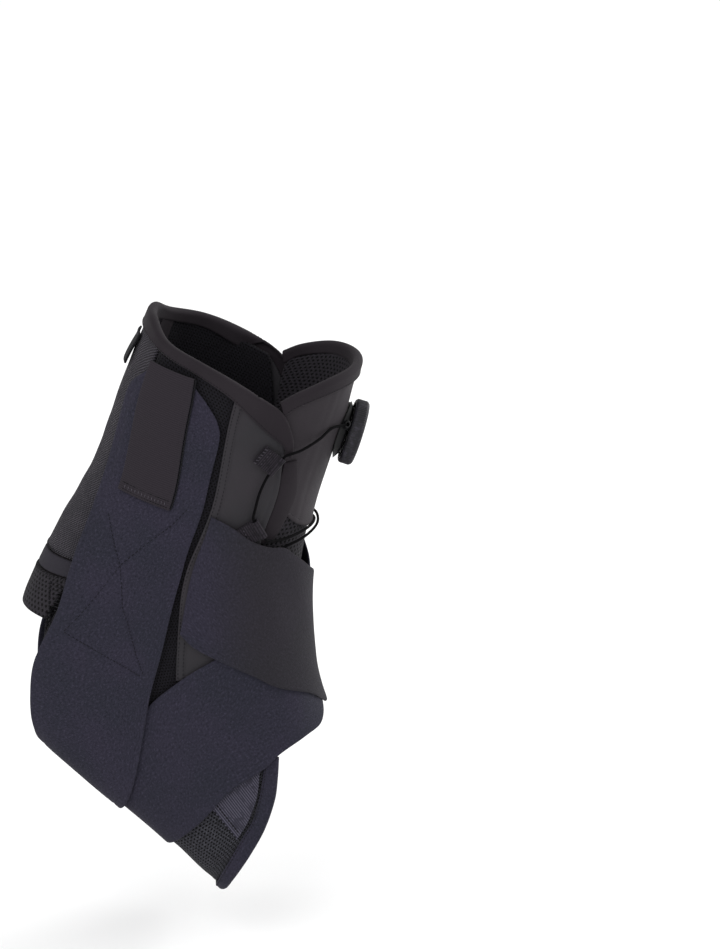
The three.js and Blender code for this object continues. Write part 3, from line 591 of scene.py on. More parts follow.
finishes = {
    "strap": strapFinish("brushed loop cloth"),
    # the over strap has painted warm light toward the toe
    "over": strapFinish("brushed loop cloth, painted_warm_light", warmLightFrom=(8, 40)),
    "heel": hatchFinish(),
    "corner": netFinish("coarse net", 2.0, shade(33, 31, 35), shade(9, 8, 10), low=0.1, high=1.5, depth=0.6),
    "sole": netFinish("sole net", 1.5, shade(26, 25, 30), shade(4, 4, 5)),
    "panel": smoothFinish("bonded panel cloth", shade(38, 37, 40), shade(43, 40, 44)),
    "tongue": smoothFinish("smooth tongue cloth", shade(37, 33, 37), shade(42, 38, 42)),
    "band": smoothFinish("smooth heel band", shade(32, 31, 36), shade(42, 40, 46), roughness=0.85, grain=0.08,
                         specular=0.08),
    "tab": ribFinish("ribbed webbing", shade(34, 30, 35), shade(40, 36, 41), pitch=0.95, depth=0.06),
    "pull": ribFinish("black webbing", shade(8, 8, 10), shade(20, 19, 23), pitch=0.9, depth=0.1),
    "guide": ribFinish("folded guide webbing", shade(22, 20, 24), shade(40, 36, 42), pitch=1.0, along=1, depth=0.12,
                       contrast=(0.1, 0.9), skip=0.4),
    "binding": smoothFinish("smooth binding tape", shade(30, 26, 30), shade(36, 32, 36), roughness=0.8, grain=0.06,
                            specular=0.1),
    "gusset": ribFinish("ribbed elastic", shade(42, 41, 50), shade(74, 72, 84), pitch=1.1, depth=0.12,
                        contrast=(0.4, 0.9), skip=0.25),
    "cord": cordFinish(),
    "body": plasticFinish("moulded housing", shade(8, 8, 10), shade(20, 19, 22), roughness=0.5, speckle=0.6,
                          specular=0.25),
    "cap": plasticFinish("moulded knob", shade(18, 17, 22), shade(56, 53, 64), roughness=0.55, speckle=0.75,
                         specular=0.25),
    "face": plasticFinish("knob face", shade(24, 23, 28), shade(40, 38, 45), roughness=0.5, speckle=0.7, specular=0.3),
    "thread": threadFinish("dark thread", shade(7, 6, 9), shade(17, 16, 21)),
    "paleThread": threadFinish("pale thread", shade(52, 49, 56), shade(78, 74, 82)),
}
print("stage: finishes")

# walls of the shell, rows from the top to the toe end
shell = {"spacing": 1.7, "waves": (3, 22, 0.15), "toeDown": 77.5, "toeAround": -112, "rows": [
    [7.2, 73, 1.8, 147.5], [15.5, 61, 12, 148], [25, 60.5, 25, 149], [35, 59, 35, 151], [41, 57, 40.5, 156],
    [47, 55, 45.6, 161], [56, 52, 51, 161.5], [66, 51, 56, 161.5], [75, 53, 64, 155.5], [79.8, 60, 72, 150],
    [86.2, 76, 82, 148.5], [90.6, 94, 89.6, 147.5], [92.7, 122, 94, 144]]}
edges = "down around endDown endAround"
sides = {"lateral": -1, "medial": 1}
shellStrips = {label: Strip(edges, shell["rows"], side) for label, side in sides.items()}
toeStart = flatSpot(shellStrips["lateral"], shell["toeDown"], shell["toeAround"])[0]
finishes["shell"] = netFinish("open spacer net", 1.35, shade(17, 16, 20), shade(3, 2, 3), low=0.3, high=1.2, depth=0.5,
                              toe=(toeStart, 1.25, shade(35, 35, 39), shade(7, 7, 9)))
for label, side in sides.items():
    wall = shellStrips[label]
    piece = clothFor(f"shell_{label}", "cloth", "shell_mesh", wall, cloth["shell"], shell["spacing"], "shell",
                     waves(*shell["waves"]))
    declare(wall)
    threads = bars(wall, edgeLine(wall, 1.0, -1), cloth["shell"], pitch=1.6, length=1.6, slant=0.3)
    sewn(f"shell_{label}_edge_stitches", threads, 0.22)
print("stage: shell")

back = {"spacing": 1.4, "waves": (5, 18, 0.12), "panelRows": [
    [2, 149, 2, 211, -1.9], [12, 149.5, 12, 210.5, -0.8], [24, 150.5, 24, 209.5, 0], [34.4, 152.8, 34.4, 207.2, 0]],
    "bandRows": [[34.6, 153.2, 34.6, 206.8], [36.9, 155, 36.9, 205]],
    "meshRows": [[37.1, 155.3, 37.1, 204.7, 0], [40, 158, 40, 202, -0.2], [42.7, 161.5, 42.7, 198.5, -0.6]],
    "soleRows": [[57, 166, 57, 194], [60.5, 161.5, 60.5, 198.5], [65, 156, 65, 204], [72.5, 151.5, 72.5, 208.5],
                 [82, 150, 82, 210], [91, 149, 91, 211], [96.2, 145.5, 96.2, 214.5]]}
backPieces = {}
for name, rows, finish, slot in (("heel_panel", "panelRows", "heel", "shell_mesh"),
                                 ("heel_band", "bandRows", "band", "panel_cloth"),
                                 ("heel_mesh", "meshRows", "corner", "shell_mesh"),
                                 ("sole_panel", "soleRows", "sole", "shell_mesh")):
    strip = Strip(edges + " bow" if len(back[rows][0]) == 5 else edges, back[rows])
    piece = clothFor(name, "cloth", slot, strip, cloth["shell"], back["spacing"], finish, waves(*back["waves"]))
    backPieces[name] = (piece, strip)
bandSeams = []
for name, inset in (("heel_panel", 0.9), ("heel_mesh", None)):
    strip = backPieces[name][1]
    line = endLine(strip, inset, 1, 1) if inset else [[0.9, -strip.widths[0] / 2 + 1], [0.9, strip.widths[0] / 2 - 1]]
    bandSeams += bars(strip, line, cloth["shell"] + 0.05, pitch=1.3, length=1.3, slant=0.25)
heelSeams = sewn("heel_band_stitches", bandSeams, 0.2)
ladder = {"from": 37.9, "to": 44.4, "step": 0.5, "around": 163, "lean": 0.95, "height": 2.35, "ends": [
    [0, 0], [0.4, 0.3], [0, 1.6], [0.2, 6]]}  # down and around of a slot's two ends and a rung's
shadeSlots, rungs = [], []
for down in np.arange(ladder["from"], ladder["to"], ladder["step"]):  # the open ladder beside the heel corner
    for side in (-1, 1):
        around = ladder["around"] - (down - ladder["from"]) * ladder["lean"]
        ends, out = onForm([down + d for d, a in ladder["ends"]], [side * (around - a) for d, a in ladder["ends"]],
                           ladder["height"])
        shadeSlots.append((ends[0], ends[1], out[0]))
        rungs.append((ends[2], ends[3], out[2]))
# the slots are dark thread blobs over the ladder's openings: painted shade inside the openings
ladderTrim = [sewn("heel_ladder_slots", shadeSlots, 0.75),
              sewn("heel_ladder_rungs", rungs[::2] + rungs[1::2], 0.26)]
piece, strip = backPieces["heel_panel"]
declare(strip)
piece, strip = backPieces["heel_mesh"]
declare(strip)
piece, strip = backPieces["sole_panel"]
declare(strip)
innerTape = {"thickness": 0.4, "lift": -0.55, "spacing": 2.4, "rows": {
    "upper": [[2.2, 142, 2.2, 154], [12, 143, 12, 155], [25, 144, 25, 156], [34.5, 146, 34.5, 158]],
    "heel": [[33.8, 149, 33.8, 211], [37.9, 152, 37.9, 208]],
    "lower": [[58, 158, 58, 168], [64, 151, 64, 162], [72, 145, 72, 156], [82, 143, 82, 154], [94, 140, 94, 150],
              [96.4, 139, 96, 149.5]]}}
for name, rows in innerTape["rows"].items():
    for label, side in (sides if name != "heel" else {"both": 1}).items():
        strip = Strip(edges, rows, side, innerTape["lift"])
        piece = slab(f"inner_seam_tape_{name}_{label}", strip, innerTape["thickness"], innerTape["spacing"], "binding")
        if min(strip.widths.max(), strip.length) > 10: declare(strip)
print("stage: back and sole")

tongue = {"channels": (21.5, 27), "channelDepth": 0.15, "channelWidth": 1.6, "roll": 0.5, "edging": 0.7,
          "edgingCrown": 0.35, "bindingHidden": 8.0, "waves": (8, 26, 0.15),
          "spacing": {"base": 2.0, "pad": 1.0, "edging": 0.8, "binding": 1.6}, "baseRows": [
    [7.4, -62, 7.4, 62, -6.5], [16, -59.5, 16, 59.5, -1], [27, -58, 27, 58, 0], [36, -57, 36, 57, 0],
    [46, -53, 46, 53, 0], [58, -50, 58, 50, 2], [70, -48, 70, 48, 8], [77, -50, 77, 50, 12]],
    "padRows": [[7.2, -62, 7.2, 62, -6.4], [12, -60, 12, 60, -2.5], [16, -59, 16, 59, 1.5], [19.5, -57, 19.5, 57, 8.3]],
    "edgingRows": [
        [15.6, 52.6, 15.2, 45, 0.9], [18, 52, 17.8, 41, 0.85], [20.6, 50.8, 20.6, 37.3, 0.85],
        [23, 50.6, 23, 37.8, 0.75], [25.4, 50.2, 25.2, 38.5, 0.35], [28.6, 48.6, 28.2, 40, 0.2]],
    "bindingRows": [
        [6.1, -66, 8.3, -62], [3.6, -56, 6, -54], [1.0, -39, 3.6, -37], [-0.2, -21, 2.5, -20], [-0.6, 0, 2.2, 0],
        [-0.2, 21, 2.5, 20], [1.0, 39, 3.6, 37], [3.6, 56, 6, 54], [6.1, 66, 8.3, 62]]}
strip = Strip(edges + " bow", tongue["baseRows"])
piece = clothFor("tongue_base", "cloth", "shell_mesh", strip, cloth["tongueBase"],
                 tongue["spacing"]["base"], "corner")
declare(strip)
strip = Strip(edges + " bow", tongue["padRows"], lift=onBase)


def padRelief(run, across, local):  # soft channels beside the middle and a rolled lower edge
    channels = sum(np.exp(-((np.abs(across) - at) / tongue["channelWidth"]) ** 2) for at in tongue["channels"])
    roll = np.exp(-((strip.length - run - 1.2) / 0.9) ** 2)
    return tongue["roll"] * roll - tongue["channelDepth"] * channels


piece = clothFor("tongue_pad", "cloth", "tongue_cloth", strip, cloth["tonguePad"],
                 tongue["spacing"]["pad"], "tongue", together(padRelief, waves(*tongue["waves"])))
threads = seam(strip, endLine(strip, 2.6, 3, 3), cloth["tonguePad"], pitch=1.5, length=1.0)
padTrim = [sewn("tongue_pad_stitches", threads, 0.17)]
for label, side in sides.items():
    edging = Strip(edges + " lift", tongue["edgingRows"], side, onBase)
    padTrim.append(slab(f"tongue_edging_{label}", edging, tongue["edging"], tongue["spacing"]["edging"], "binding",
                        lambda run, across, local: tongue["edgingCrown"] * (1 - (2 * across / local) ** 2)))
declare(strip)
strip = Strip(edges, tongue["bindingRows"], lift=onBase + cloth["tonguePad"] + cloth["clearance"])
strip.foldLift = onBase + cloth["tonguePad"]
piece = tape("tongue_binding_tape", strip, cloth["binding"], tongue["spacing"]["binding"], "binding")
standIn(piece, "tongue_binding")
threads = seam(strip, edgeLine(strip, 0.9, 1, 2, 2), cloth["binding"] + 0.03, pitch=1.6, length=1.1)
bindingSeam = sewn("tongue_binding_stitches", threads, 0.17)
declare(strip, tongue["bindingHidden"])
print("stage: tongue")

panel = {"spacing": 0.7, "waves": (11, 30, 0.15), "hems": ((3.9, 0.3), (2.2, 0.12, -1)),
         "seams": ((0.9, 1.52), (3.3, 1.5)), "corner": ((44.5, 86), (49.5, 76)), "rows": [
    [8.2, 71, 5.2, 93], [12.4, 57, 10.6, 92], [15.8, 54, 13.3, 91.5], [20.1, 51.5, 18.2, 91], [25.5, 51, 23.5, 90],
    [31.3, 48, 30, 88.5], [40, 48, 38, 90], [49, 49, 46, 93], [57, 51, 53, 97.5]]}
gusset = {"spacing": 0.8, "fold": 3.0, "rise": 0.25, "rows": [
    [77.5, 73, 80.9, 73.5], [77, 84, 85, 84], [77, 98, 87.8, 98], [77.5, 112, 89, 111]]}
tab = {"spacing": 0.7, "waves": (13, 20, 0.12), "lip": (0.4, 0.35), "rows": [
    [4.7, 118, 4.9, 147], [10.2, 116, 10, 147.5], [16.8, 116, 16.5, 148], [24.3, 115.5, 23.3, 148]]}
guides = {"boreRadius": 0.95, "web": 0.75, "rows": [
    {"inset": 0.5, "pitch": 0.75, "reach": 1.5}, {"inset": 3.1, "pitch": 1.0, "reach": 0.5}], "bores": {
    "upper": {"from": [14.5, 56.5], "to": [16.9, 62], "foot": onPanel + 0.3, "wall": 0.75, "tail": 9.3, "droop": 0.8},
    "middle": {"from": [24, 62], "to": [26.7, 51.5], "foot": onPanel + 0.3, "wall": 0.75, "tail": 9.3, "droop": 0.45},
    "lower": {"from": [32.6, 41], "to": [36.2, 39.5], "foot": onBase, "wall": 0.35, "tail": 4.9, "droop": 0.2}}}


def guideFrame(bore, side):  # both ends of a guide's bore, and along, outward and tailward directions
    loop = guides["boreRadius"] + bore["wall"]
    ends = [onForm(down, side * around, bore["foot"] + loop) for down, around in (bore["from"], bore["to"])]
    start, end = ends[0][0][0], ends[1][0][0]
    along = (end - start) / np.linalg.norm(end - start)
    outward = ends[0][1][0] + ends[1][1][0]
    outward = outward - along * outward.dot(along)
    outward /= np.linalg.norm(outward)
    return start, end, outward, np.cross(outward, along) * side


def guideLoop(name, bore, side):  # webbing folded round the lace, both legs sewn to the panel
    start, end, outward, tailward = guideFrame(bore, side)
    radius = guides["boreRadius"] + 0.32
    web = min(guides["web"], bore["wall"] + 0.25)
    loop = guides["boreRadius"] + bore["wall"]
    floor, tail = -loop - bore["droop"], bore["tail"]
    route = [[tail, floor + 1.5 * web + 0.1], [tail * 0.6, floor + 0.6 * bore["droop"] + 1.5 * web + 0.1],
             [radius + 0.5, -0.35], [radius * 0.8, radius * 0.65], [0, radius], [-radius * 0.8, radius * 0.6],
             [-radius, 0], [-radius * 0.75, -radius * 0.7], [0, -radius - 0.02],
             [tail * 0.6, floor + 0.5 * bore["droop"] + 0.5 * web], [tail, floor + 0.5 * web]]
    path = between(np.array(route), np.linspace(0, len(route) - 1, 61))
    normal = np.gradient(path, axis=0)
    normal = np.stack([-normal[:, 1], normal[:, 0]], 1) / np.linalg.norm(normal, axis=1)[:, None]
    size = np.linalg.norm(end - start)
    shares = gridPlaces(size, 0.5, web / 2) / size
    steps = runAlong(path)
    bm, i, j, layer = unitSlab(len(shares) - 1, 60)
    distance = np.minimum(np.minimum(shares[i], 1 - shares[i]) * size, np.minimum(steps[j], steps[-1] - steps[j]))
    offset = (0.5 - layer) * web * (0.3 + 0.7 * border(distance, web / 2))
    at = path[j] + normal[j] * offset[:, None]
    points = start + (end - start) * shares[i][:, None] + tailward * at[:, :1] + outward * at[:, 1:]
    piece = closeSlab(bm, points, np.stack([shares[i] * size, steps[j]], 1), name + "_loop", "guide")
    standIn(piece, name)
    threads = []
    for row in guides["rows"]:
        for share in np.arange(0.06, 0.98, row["pitch"] / size):
            spot = start + (end - start) * share + tailward * (tail - row["inset"])
            spot = spot + outward * (floor + (row["inset"] / tail) * bore["droop"] + 2 * web + 0.12)
            half = tailward * row["reach"] / 2 + (end - start) / size * 0.35
            threads.append((spot - half, spot + half, outward))
    return (piece, sewn(name + "_stitches", threads[::2], 0.27),
            sewn(name + "_overlock", threads[1::2], 0.2, "paleThread"))


for label, side in sides.items():
    strip = Strip(edges, panel["rows"], side, onShell)
    piece = clothFor(f"front_panel_{label}", "cloth", "panel_cloth", strip, cloth["panel"], panel["spacing"],
                     "panel", together(*[hem(*sizes) for sizes in panel["hems"]], waves(*panel["waves"])))
    threads = []
    for inset, height in panel["seams"]: threads += seam(strip, edgeLine(strip, inset), height, pitch=1.7, length=1.15)
    trim = [sewn(f"front_panel_{label}_stitches", threads, 0.2)]
    threads = bars(strip, endLine(strip, 1.2, 1, 1), cloth["panel"] + 0.05, pitch=1.3, length=1.8, slant=0.3)
    corner = [flatSpot(strip, down, side * around) for down, around in panel["corner"]]
    threads += bars(strip, corner, cloth["panel"] + 0.05, pitch=1.2, length=1.9, slant=0.35)
    trim.append(sewn(f"front_panel_{label}_overlock", threads, 0.22))
    for place, bore in guides["bores"].items():
        trim += guideLoop(f"lace_guide_{place}_{label}", bore, side)
    declare(strip)

    strip = Strip(edges, gusset["rows"], side, onShell)
    piece = clothFor(f"gusset_{label}", "cloth", "ribbed_elastic", strip, cloth["gusset"],
                     gusset["spacing"], "gusset", foldRelief(strip, gusset["fold"], gusset["rise"]))
    threads = (seam(strip, endLine(strip, 0.3), cloth["gusset"] + 0.35, pitch=1.9, length=1.4)
               + seam(strip, endLine(strip, 3.1), cloth["gusset"] + 0.25, pitch=1.5, length=1.3))
    stitches = sewn(f"gusset_{label}_stitches", threads, 0.38)
    declare(strip)

    strip = Strip(edges, tab["rows"], side, onShell + overStrap)
    lip = grooves([endLine(strip, 4.0, 0, 0), edgeLine(strip, 1.6, -1, 0, 0)], *tab["lip"])
    piece = clothFor(f"hook_tab_{label}", "webbing", "tab_webbing", strip, cloth["tab"], tab["spacing"],
                     "tab", together(lip, waves(*tab["waves"])))
    pale = bars(strip, endLine(strip, 2.6, 3, 3), cloth["tab"] + 0.02, pitch=1.5, length=1.7, slant=0.1)
    dark = (seam(strip, endLine(strip, 1.1, 1, 1), cloth["tab"], pitch=1.3, length=1.1)
            + seam(strip, endLine(strip, 4.1, 1, 1), cloth["tab"] - 0.2, pitch=1.6, length=1.3))
    # a dark cord of overlapped stitches on the strap just outside the tab's edge: painted shadow under the tab's edge
    edgeShadow = seam(strip, edgeLine(strip, -0.5, -1), -0.15, pitch=1.4, length=2.4)
    trim = [sewn(f"hook_tab_{label}_welt", edgeShadow, 0.42),
            sewn(f"hook_tab_{label}_bar_stitches", pale, 0.2, "paleThread"),
            sewn(f"hook_tab_{label}_stitches", dark, 0.2)]
    declare(strip)
print("stage: panels, gussets, guides and tabs")

folded = edges + " lift fold"
bindings = {"spacing": 1.5, "hidden": 8.0, "topHalf": [
    [-1.3, 180, 1.7, 180], [-1.0, 164, 2.0, 160], [0.9, 144, 3.1, 141], [2.0, 119, 4.2, 118],
    [3.6, 97, 6.1, 98, onPanel - 0.6, onPanel - 0.6], [5.7, 76, 8.8, 82, onPanel, 0.5],
    [7.6, 64, 10.8, 71, onPanel, 0.5], [10.4, 56, 12.2, 62, onPanel, 0.5], [12.8, 51.5, 13, 57.2, onPanel, 0.5],
    [14.8, 50.5, 14.2, 54, onPanel, 0.5]],
    "footHalf": [
    [98.2, 180, 95.6, 180], [98.2, 162, 95.6, 162], [97.9, 150, 95.3, 150],
    [97.4, 140, 94.2, 141, onShell + 0.1, onShell],
    [96.4, 129, 92.6, 130, onShell + 0.4, onShell], [95.1, 111, 90, 110, onShell + 0.3, onShell],
    [93.2, 93, 88.2, 93], [89.6, 77, 84.6, 80], [85.4, 66, 81.6, 72], [81.8, 58, 79, 67]]}
for name, half, finish, slot in (("top_binding", "topHalf", "binding", "binding_tape"),
                                 ("foot_binding", "footHalf", "strap", "strap_cloth")):
    strip = Strip(folded, wholeStrip(filled(bindings[half], onShell, onShell)))
    strip.foldLift = 0
    piece = tape(name + "_tape", strip, cloth["binding"], bindings["spacing"], finish)
    standIn(piece, name)
    threads = seam(strip, edgeLine(strip, 0.8, 1, 2, 2), cloth["binding"] + 0.03, pitch=1.6, length=1.15)
    bindingSeam = sewn(name + "_stitches", threads, 0.2)
    declare(strip, bindings["hidden"])
print("stage: bindings")

# straps: the over strap starts on the outer side, the under strap is its mirror image
instepColumns = "down around endDown endAround lift endLift turnBow"
over = onPanel + overStrap
straps = {"spacing": 1.35, "edge": 1.5, "waves": (17, 34, 0.22), "instep": [
    [24.1, -88.5, 44.8, -91, onPanel, onPanel, 4.5], [24.7, -80, 47.6, -82, onPanel + 0.6, onPanel + 0.6, 2.5],
    [25.5, -71, 50.4, -71, onPanel + 1.9, over], [27.3, -58, 53.4, -61, onPanel + 2.1, over],
    [28.6, -45, 57.7, -50, onPanel + 1.9, over], [29, -36, 63, -40, over, over],
    [30.8, -28, 68.6, -30, over - 0.3, over - 0.4], [33.2, -19, 75, -19, over - 0.5, over - 0.6],
    [36.6, -9, 80.6, -8, over - 0.5, over - 0.7], [40, 2, 84.6, 5, over - 0.2, over - 0.6],
    [43, 15, 86, 20, over + 0.2, over - 0.2], [46, 32, 83.4, 38, over + 0.8, over],
    [48.5, 52, 81, 56, over + 0.8, over], [50.8, 70, 80.6, 71, over + 0.4, onPanel + 1],
    [52, 84, 79.2, 88, onPanel + 1.2, onPanel + 0.6], [53.4, 98, 79.2, 102, onPanel, onPanel],
    [55.6, 115, 80, 118, onShell + 0.5, onShell + 0.5], [59, 131, 80.2, 132, onShell + 0.4, onShell + 0.3],
    [61.5, 140, 80.2, 141, onShell + 0.3, onShell + 0.2], [63.5, 147, 80.2, 147, onShell + 0.1, onShell + 0.1],
    [65, 153, 80.2, 153], [66, 160, 80.2, 160], [67, 170, 80.2, 170], [67.5, 179.2, 80.2, 179.2]],
    "stirrupHalf": [
    [6.4, 117.5, 6.6, 147.5, onShell], [8.8, 107, 8.6, 154, onShell], [11.4, 98, 10.8, 160, onShell],
    [14, 95, 15.1, 161, onShell], [20, 96, 22, 161, onShell], [27.3, 93.5, 29.5, 157, onShell],
    [34, 91.5, 36, 155, onShell + 0.6], [41, 96, 41.5, 155, onShell + 1.4], [48, 104.5, 47, 160.5],
    [54.2, 115, 51.6, 162], [60, 123, 54.4, 162.5], [65, 131, 55.6, 163], [68, 138, 56.4, 164],
    [69.6, 144, 57, 165.5], [70.3, 149, 57.4, 168], [70.5, 156, 57.8, 171], [70.5, 167, 58, 175], [70.5, 180, 58, 180]],
    "stirrupSpacing": 1.1, "stirrupWaves": (19, 30, 0.2), "quiltGroove": (0.42, 0.95), "edgeGroove": (0.22, 0.8),
    "quilting": [[(26.5, 149.5), (33.5, 131), (40.2, 125), (47, 119), (50.5, 116.5)],
                 [(43.8, 151.5), (33.8, 130.5), (26.2, 110.5), (24, 104)],
                 [(43.8, 151), (46.5, 134), (50.3, 118)]]}
overRows = filled(straps["instep"], onShell, onShell, 0)
underRows = [[*row[:4], onPanel if -40 < row[1] < 90 else row[4], onPanel if row[3] < 90 else row[5], row[6]]
             for row in overRows]
for name, rows, side, finish in (("instep_strap_over", overRows, 1, "over"),
                                 ("instep_strap_under", underRows, -1, "strap")):
    strip = Strip(instepColumns, rows, side)
    piece = clothFor(name, "cloth", "strap_cloth", strip, cloth["strap"], straps["spacing"], finish,
                     waves(*straps["waves"]), straps["edge"])
    declare(strip)
stirrup = Strip(edges + " lift", wholeStrip(filled(straps["stirrupHalf"], overInstep)[::-1]))
quiltLines, quiltThreads = [], []
for side in (-1, 1):
    for marks in straps["quilting"]:
        line = np.array([flatSpot(stirrup, down, side * around) for down, around in marks])
        quiltLines.append(line)
        quiltThreads += seam(stirrup, line, cloth["strap"] - 0.22, pitch=1.9, length=1.55)
edgeLines = [edgeLine(stirrup, 3.4, edge, 3, 3) for edge in (-1, 1)]
piece = clothFor("stirrup_strap", "cloth", "strap_cloth", stirrup, cloth["strap"],
                 straps["stirrupSpacing"], "strap", together(
                     grooves(quiltLines, *straps["quiltGroove"]), grooves(edgeLines, *straps["edgeGroove"]),
                     waves(*straps["stirrupWaves"])))
quilting = sewn("stirrup_strap_stitches", quiltThreads, 0.15)
declare(stirrup)
print("stage: straps")

pull = {"spacing": 0.7, "rows": [
    [3.2, 172, 3.2, 188, 0], [4.4, 172, 4.4, 188, 0.1], [6.2, 172, 6.2, 188, 0.7],
    [7.8, 172, 7.8, 188, 1.1], [9, 172.5, 9, 187.5, 1.2]]}
strip = Strip(edges + " lift", pull["rows"], lift=onShell)
piece = clothFor("pull_tab", "webbing", "tab_webbing", strip, cloth["tab"], pull["spacing"], "pull")
threads = bars(strip, [[0.9, -5], [0.9, 5]], cloth["tab"], pitch=1.1, length=1.2, slant=0.2)
pullSeam = sewn("pull_tab_stitches", threads, 0.18, "paleThread")
declare(strip)


# dial and lace
dial = {"down": 12.6, "radius": 14.6, "baseRadius": 12.9, "baseTop": 2.4, "spoutRise": 26, "spoutHeight": 1.25,
        "ratchet": 1.2, "knobHeight": 6.2, "recess": 12.4, "teeth": 84, "tooth": 0.24, "roundness": 0.44, "follow": 1.2,
        "mouths": (12.4, 13.2)}
lacing = {"radius": 0.62, "sides": 10, "overlap": 1.6, "spacing": 1.1, "flatWidth": 0.6,
          "toUpper": [[10.6, 26, 3.2], [11.9, 35, 4.2], [13.3, 47, 6.1]],
          "toMiddle": [[19.6, 64.5, 6.2], [22, 64.2, 6.2]],
          "crossing": [[27.7, 45, 5.6, 0], [27.9, 36, 4.2, 0], [27.6, 27, 3.6, 0.5], [27.3, 16, 3.4, 1],
                       [27.2, 6, 3.4, 1], [27.6, -6, 3.4, 1], [28.6, -20, 3.3, 0.6], [30.2, -34, 2.9, 0]],
          "back": [[38.4, 37, 2.5], [39.6, 30, 2.3], [40, 15, 2.3], [40, 0, 2.3]]}
dialSeat, dialOut = [v[0] for v in onForm(dial["down"], 0, onBase + cloth["tonguePad"])]
dialAcross = np.array([0, 1, 0])
dialUp = np.cross(dialOut, dialAcross)


def dialSpot(across, up, height):
    parts = [np.asarray(v, float)[..., None] for v in (across, up, height)]
    return dialSeat + parts[0] * dialAcross + parts[1] * dialUp + parts[2] * dialOut


def tongueSpot(across, up, height):  # on the tongue, at a distance from the dial's middle
    flatPlace = dialSpot(across, up, 0 * across)
    perDown = np.linalg.norm(formSkin(np.array([dial["down"] - 1]), np.array([0]))
                             - formSkin(np.array([dial["down"] + 1]), np.array([0]))) / 2
    around = np.degrees(across / (form["ankleDepth"] * dial["roundness"]))
    on = onForm(dial["down"] - up / perDown, around, onBase + cloth["tonguePad"] + height)[0]
    return np.stack([on[:, 0], flatPlace[:, 1], on[:, 2]], 1)


def rounded(corners, radius, steps=4):  # a profile with its corners rounded
    corners = np.array(corners, float)
    line = [corners[0]]
    for before, corner, after in zip(corners[:-2], corners[1:-1], corners[2:]):
        gaps = [np.linalg.norm(before - corner), np.linalg.norm(after - corner)]
        cut = min(radius, gaps[0] * 0.45, gaps[1] * 0.45)
        first, last = corner + (before - corner) * cut / gaps[0], corner + (after - corner) * cut / gaps[1]
        for t in np.linspace(0, 1, steps + 1):
            line.append((1 - t) ** 2 * first + 2 * t * (1 - t) * corner + t * t * last)
    return np.array(line + [corners[-1]])


def ringGrid(rows, count):  # a grid to roll up, with the row and the angle of each vertex
    bm = bmesh.new()
    bmesh.ops.create_grid(bm, x_segments=rows - 1, y_segments=count, size=0.5)
    co = np.array([v.co for v in bm.verts]) + 0.5
    return bm, np.rint(co[:, 0] * (rows - 1)).astype(int), np.rint(co[:, 1] * count) / count * 2 * np.pi


def turned(name, profile, count, spot, finish, body, teeth=None):  # a turned body, closed at its axis
    bm, i, angle = ringGrid(len(profile), count)
    radius, height = profile[i, 0], profile[i, 1]
    if teeth: radius = radius - teeth(radius, height, angle)
    points = spot(radius * np.cos(angle), radius * np.sin(angle), height)
    shape(bm, points)
    bmesh.ops.remove_doubles(bm, verts=bm.verts[:], dist=1e-6)
    bmesh.ops.recalc_face_normals(bm, faces=bm.faces[:])
    return newPiece(name, bm, finish, body)


def knurl(radius, height, angle):
    side = np.clip((radius - 13.4) / 0.6, 0, 1) * np.clip((height - low - 0.2) / 0.5, 0, 1)
    return dial["tooth"] * side * (0.5 - 0.5 * np.cos(angle * dial["teeth"])) ** 1.5


low = dial["baseTop"] + cloth["clearance"]
roof, top = low + dial["ratchet"] + cloth["clearance"], low + dial["knobHeight"]
edge = dial["radius"]
piece = turned("dial_knob_grip", rounded([
    [0, roof], [dial["recess"], roof], [dial["recess"], low], [edge - 0.7, low], [edge, low + 0.8], [edge, top - 1.2],
    [edge - 0.8, top - 0.2], [edge - 1.8, top], [edge - 2.2, top - 0.5], [0, top - 0.5]], 0.4), 384, dialSpot,
    "cap", "knob", knurl)
standIn(piece, "dial_knob")
piece = turned("dial_knob_face", rounded([[0, top - 0.45], [edge - 2.5, top - 0.45], [edge - 2.6, top - 0.1],
                                          [edge - 3.4, top + 0.1], [edge - 7, top + 0.3], [0, top + 0.35]], 0.5), 96,
               dialSpot, "face", "knob")


def housingSpot(across, up, height):  # the lower rings follow the tongue
    flatPlace, lying = dialSpot(across, up, height), tongueSpot(across, up, height)
    return np.where((height < dial["follow"])[:, None], lying, flatPlace)


piece = turned("dial_housing", rounded([
    [0, 0.65], [dial["baseRadius"] - 0.6, 0.65], [dial["baseRadius"], 0.9], [dial["baseRadius"] - 0.2, 1.15],
    [dial["baseRadius"] - 1.6, 2.0], [dial["baseRadius"] - 2.2, dial["baseTop"]], [0, dial["baseTop"]]], 0.3), 96,
    housingSpot, "body", "brace")
standIn(piece, "dial_base")
rise = math.radians(dial["spoutRise"])
for label, side in sides.items():
    ray = [side * math.cos(rise), math.sin(rise)]

    def spoutSpot(first, second, along):
        return dialSpot(ray[0] * along - ray[1] * first, ray[1] * along + ray[0] * first,
                        dial["spoutHeight"] + second * 0.8)

    reach = dial["baseRadius"]
    piece = turned(f"dial_spout_{label}", rounded([
        [0, reach - 3], [2.3, reach - 3], [2.2, reach + 0.2], [1.5, reach + 2.1], [0.9, reach + 2.1], [0.8, reach],
        [0, reach]], 0.3), 40, spoutSpot, "body", "brace")
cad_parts["dial_ratchet"].data.materials.clear()
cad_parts["dial_ratchet"].data.materials.append(finishes["body"])


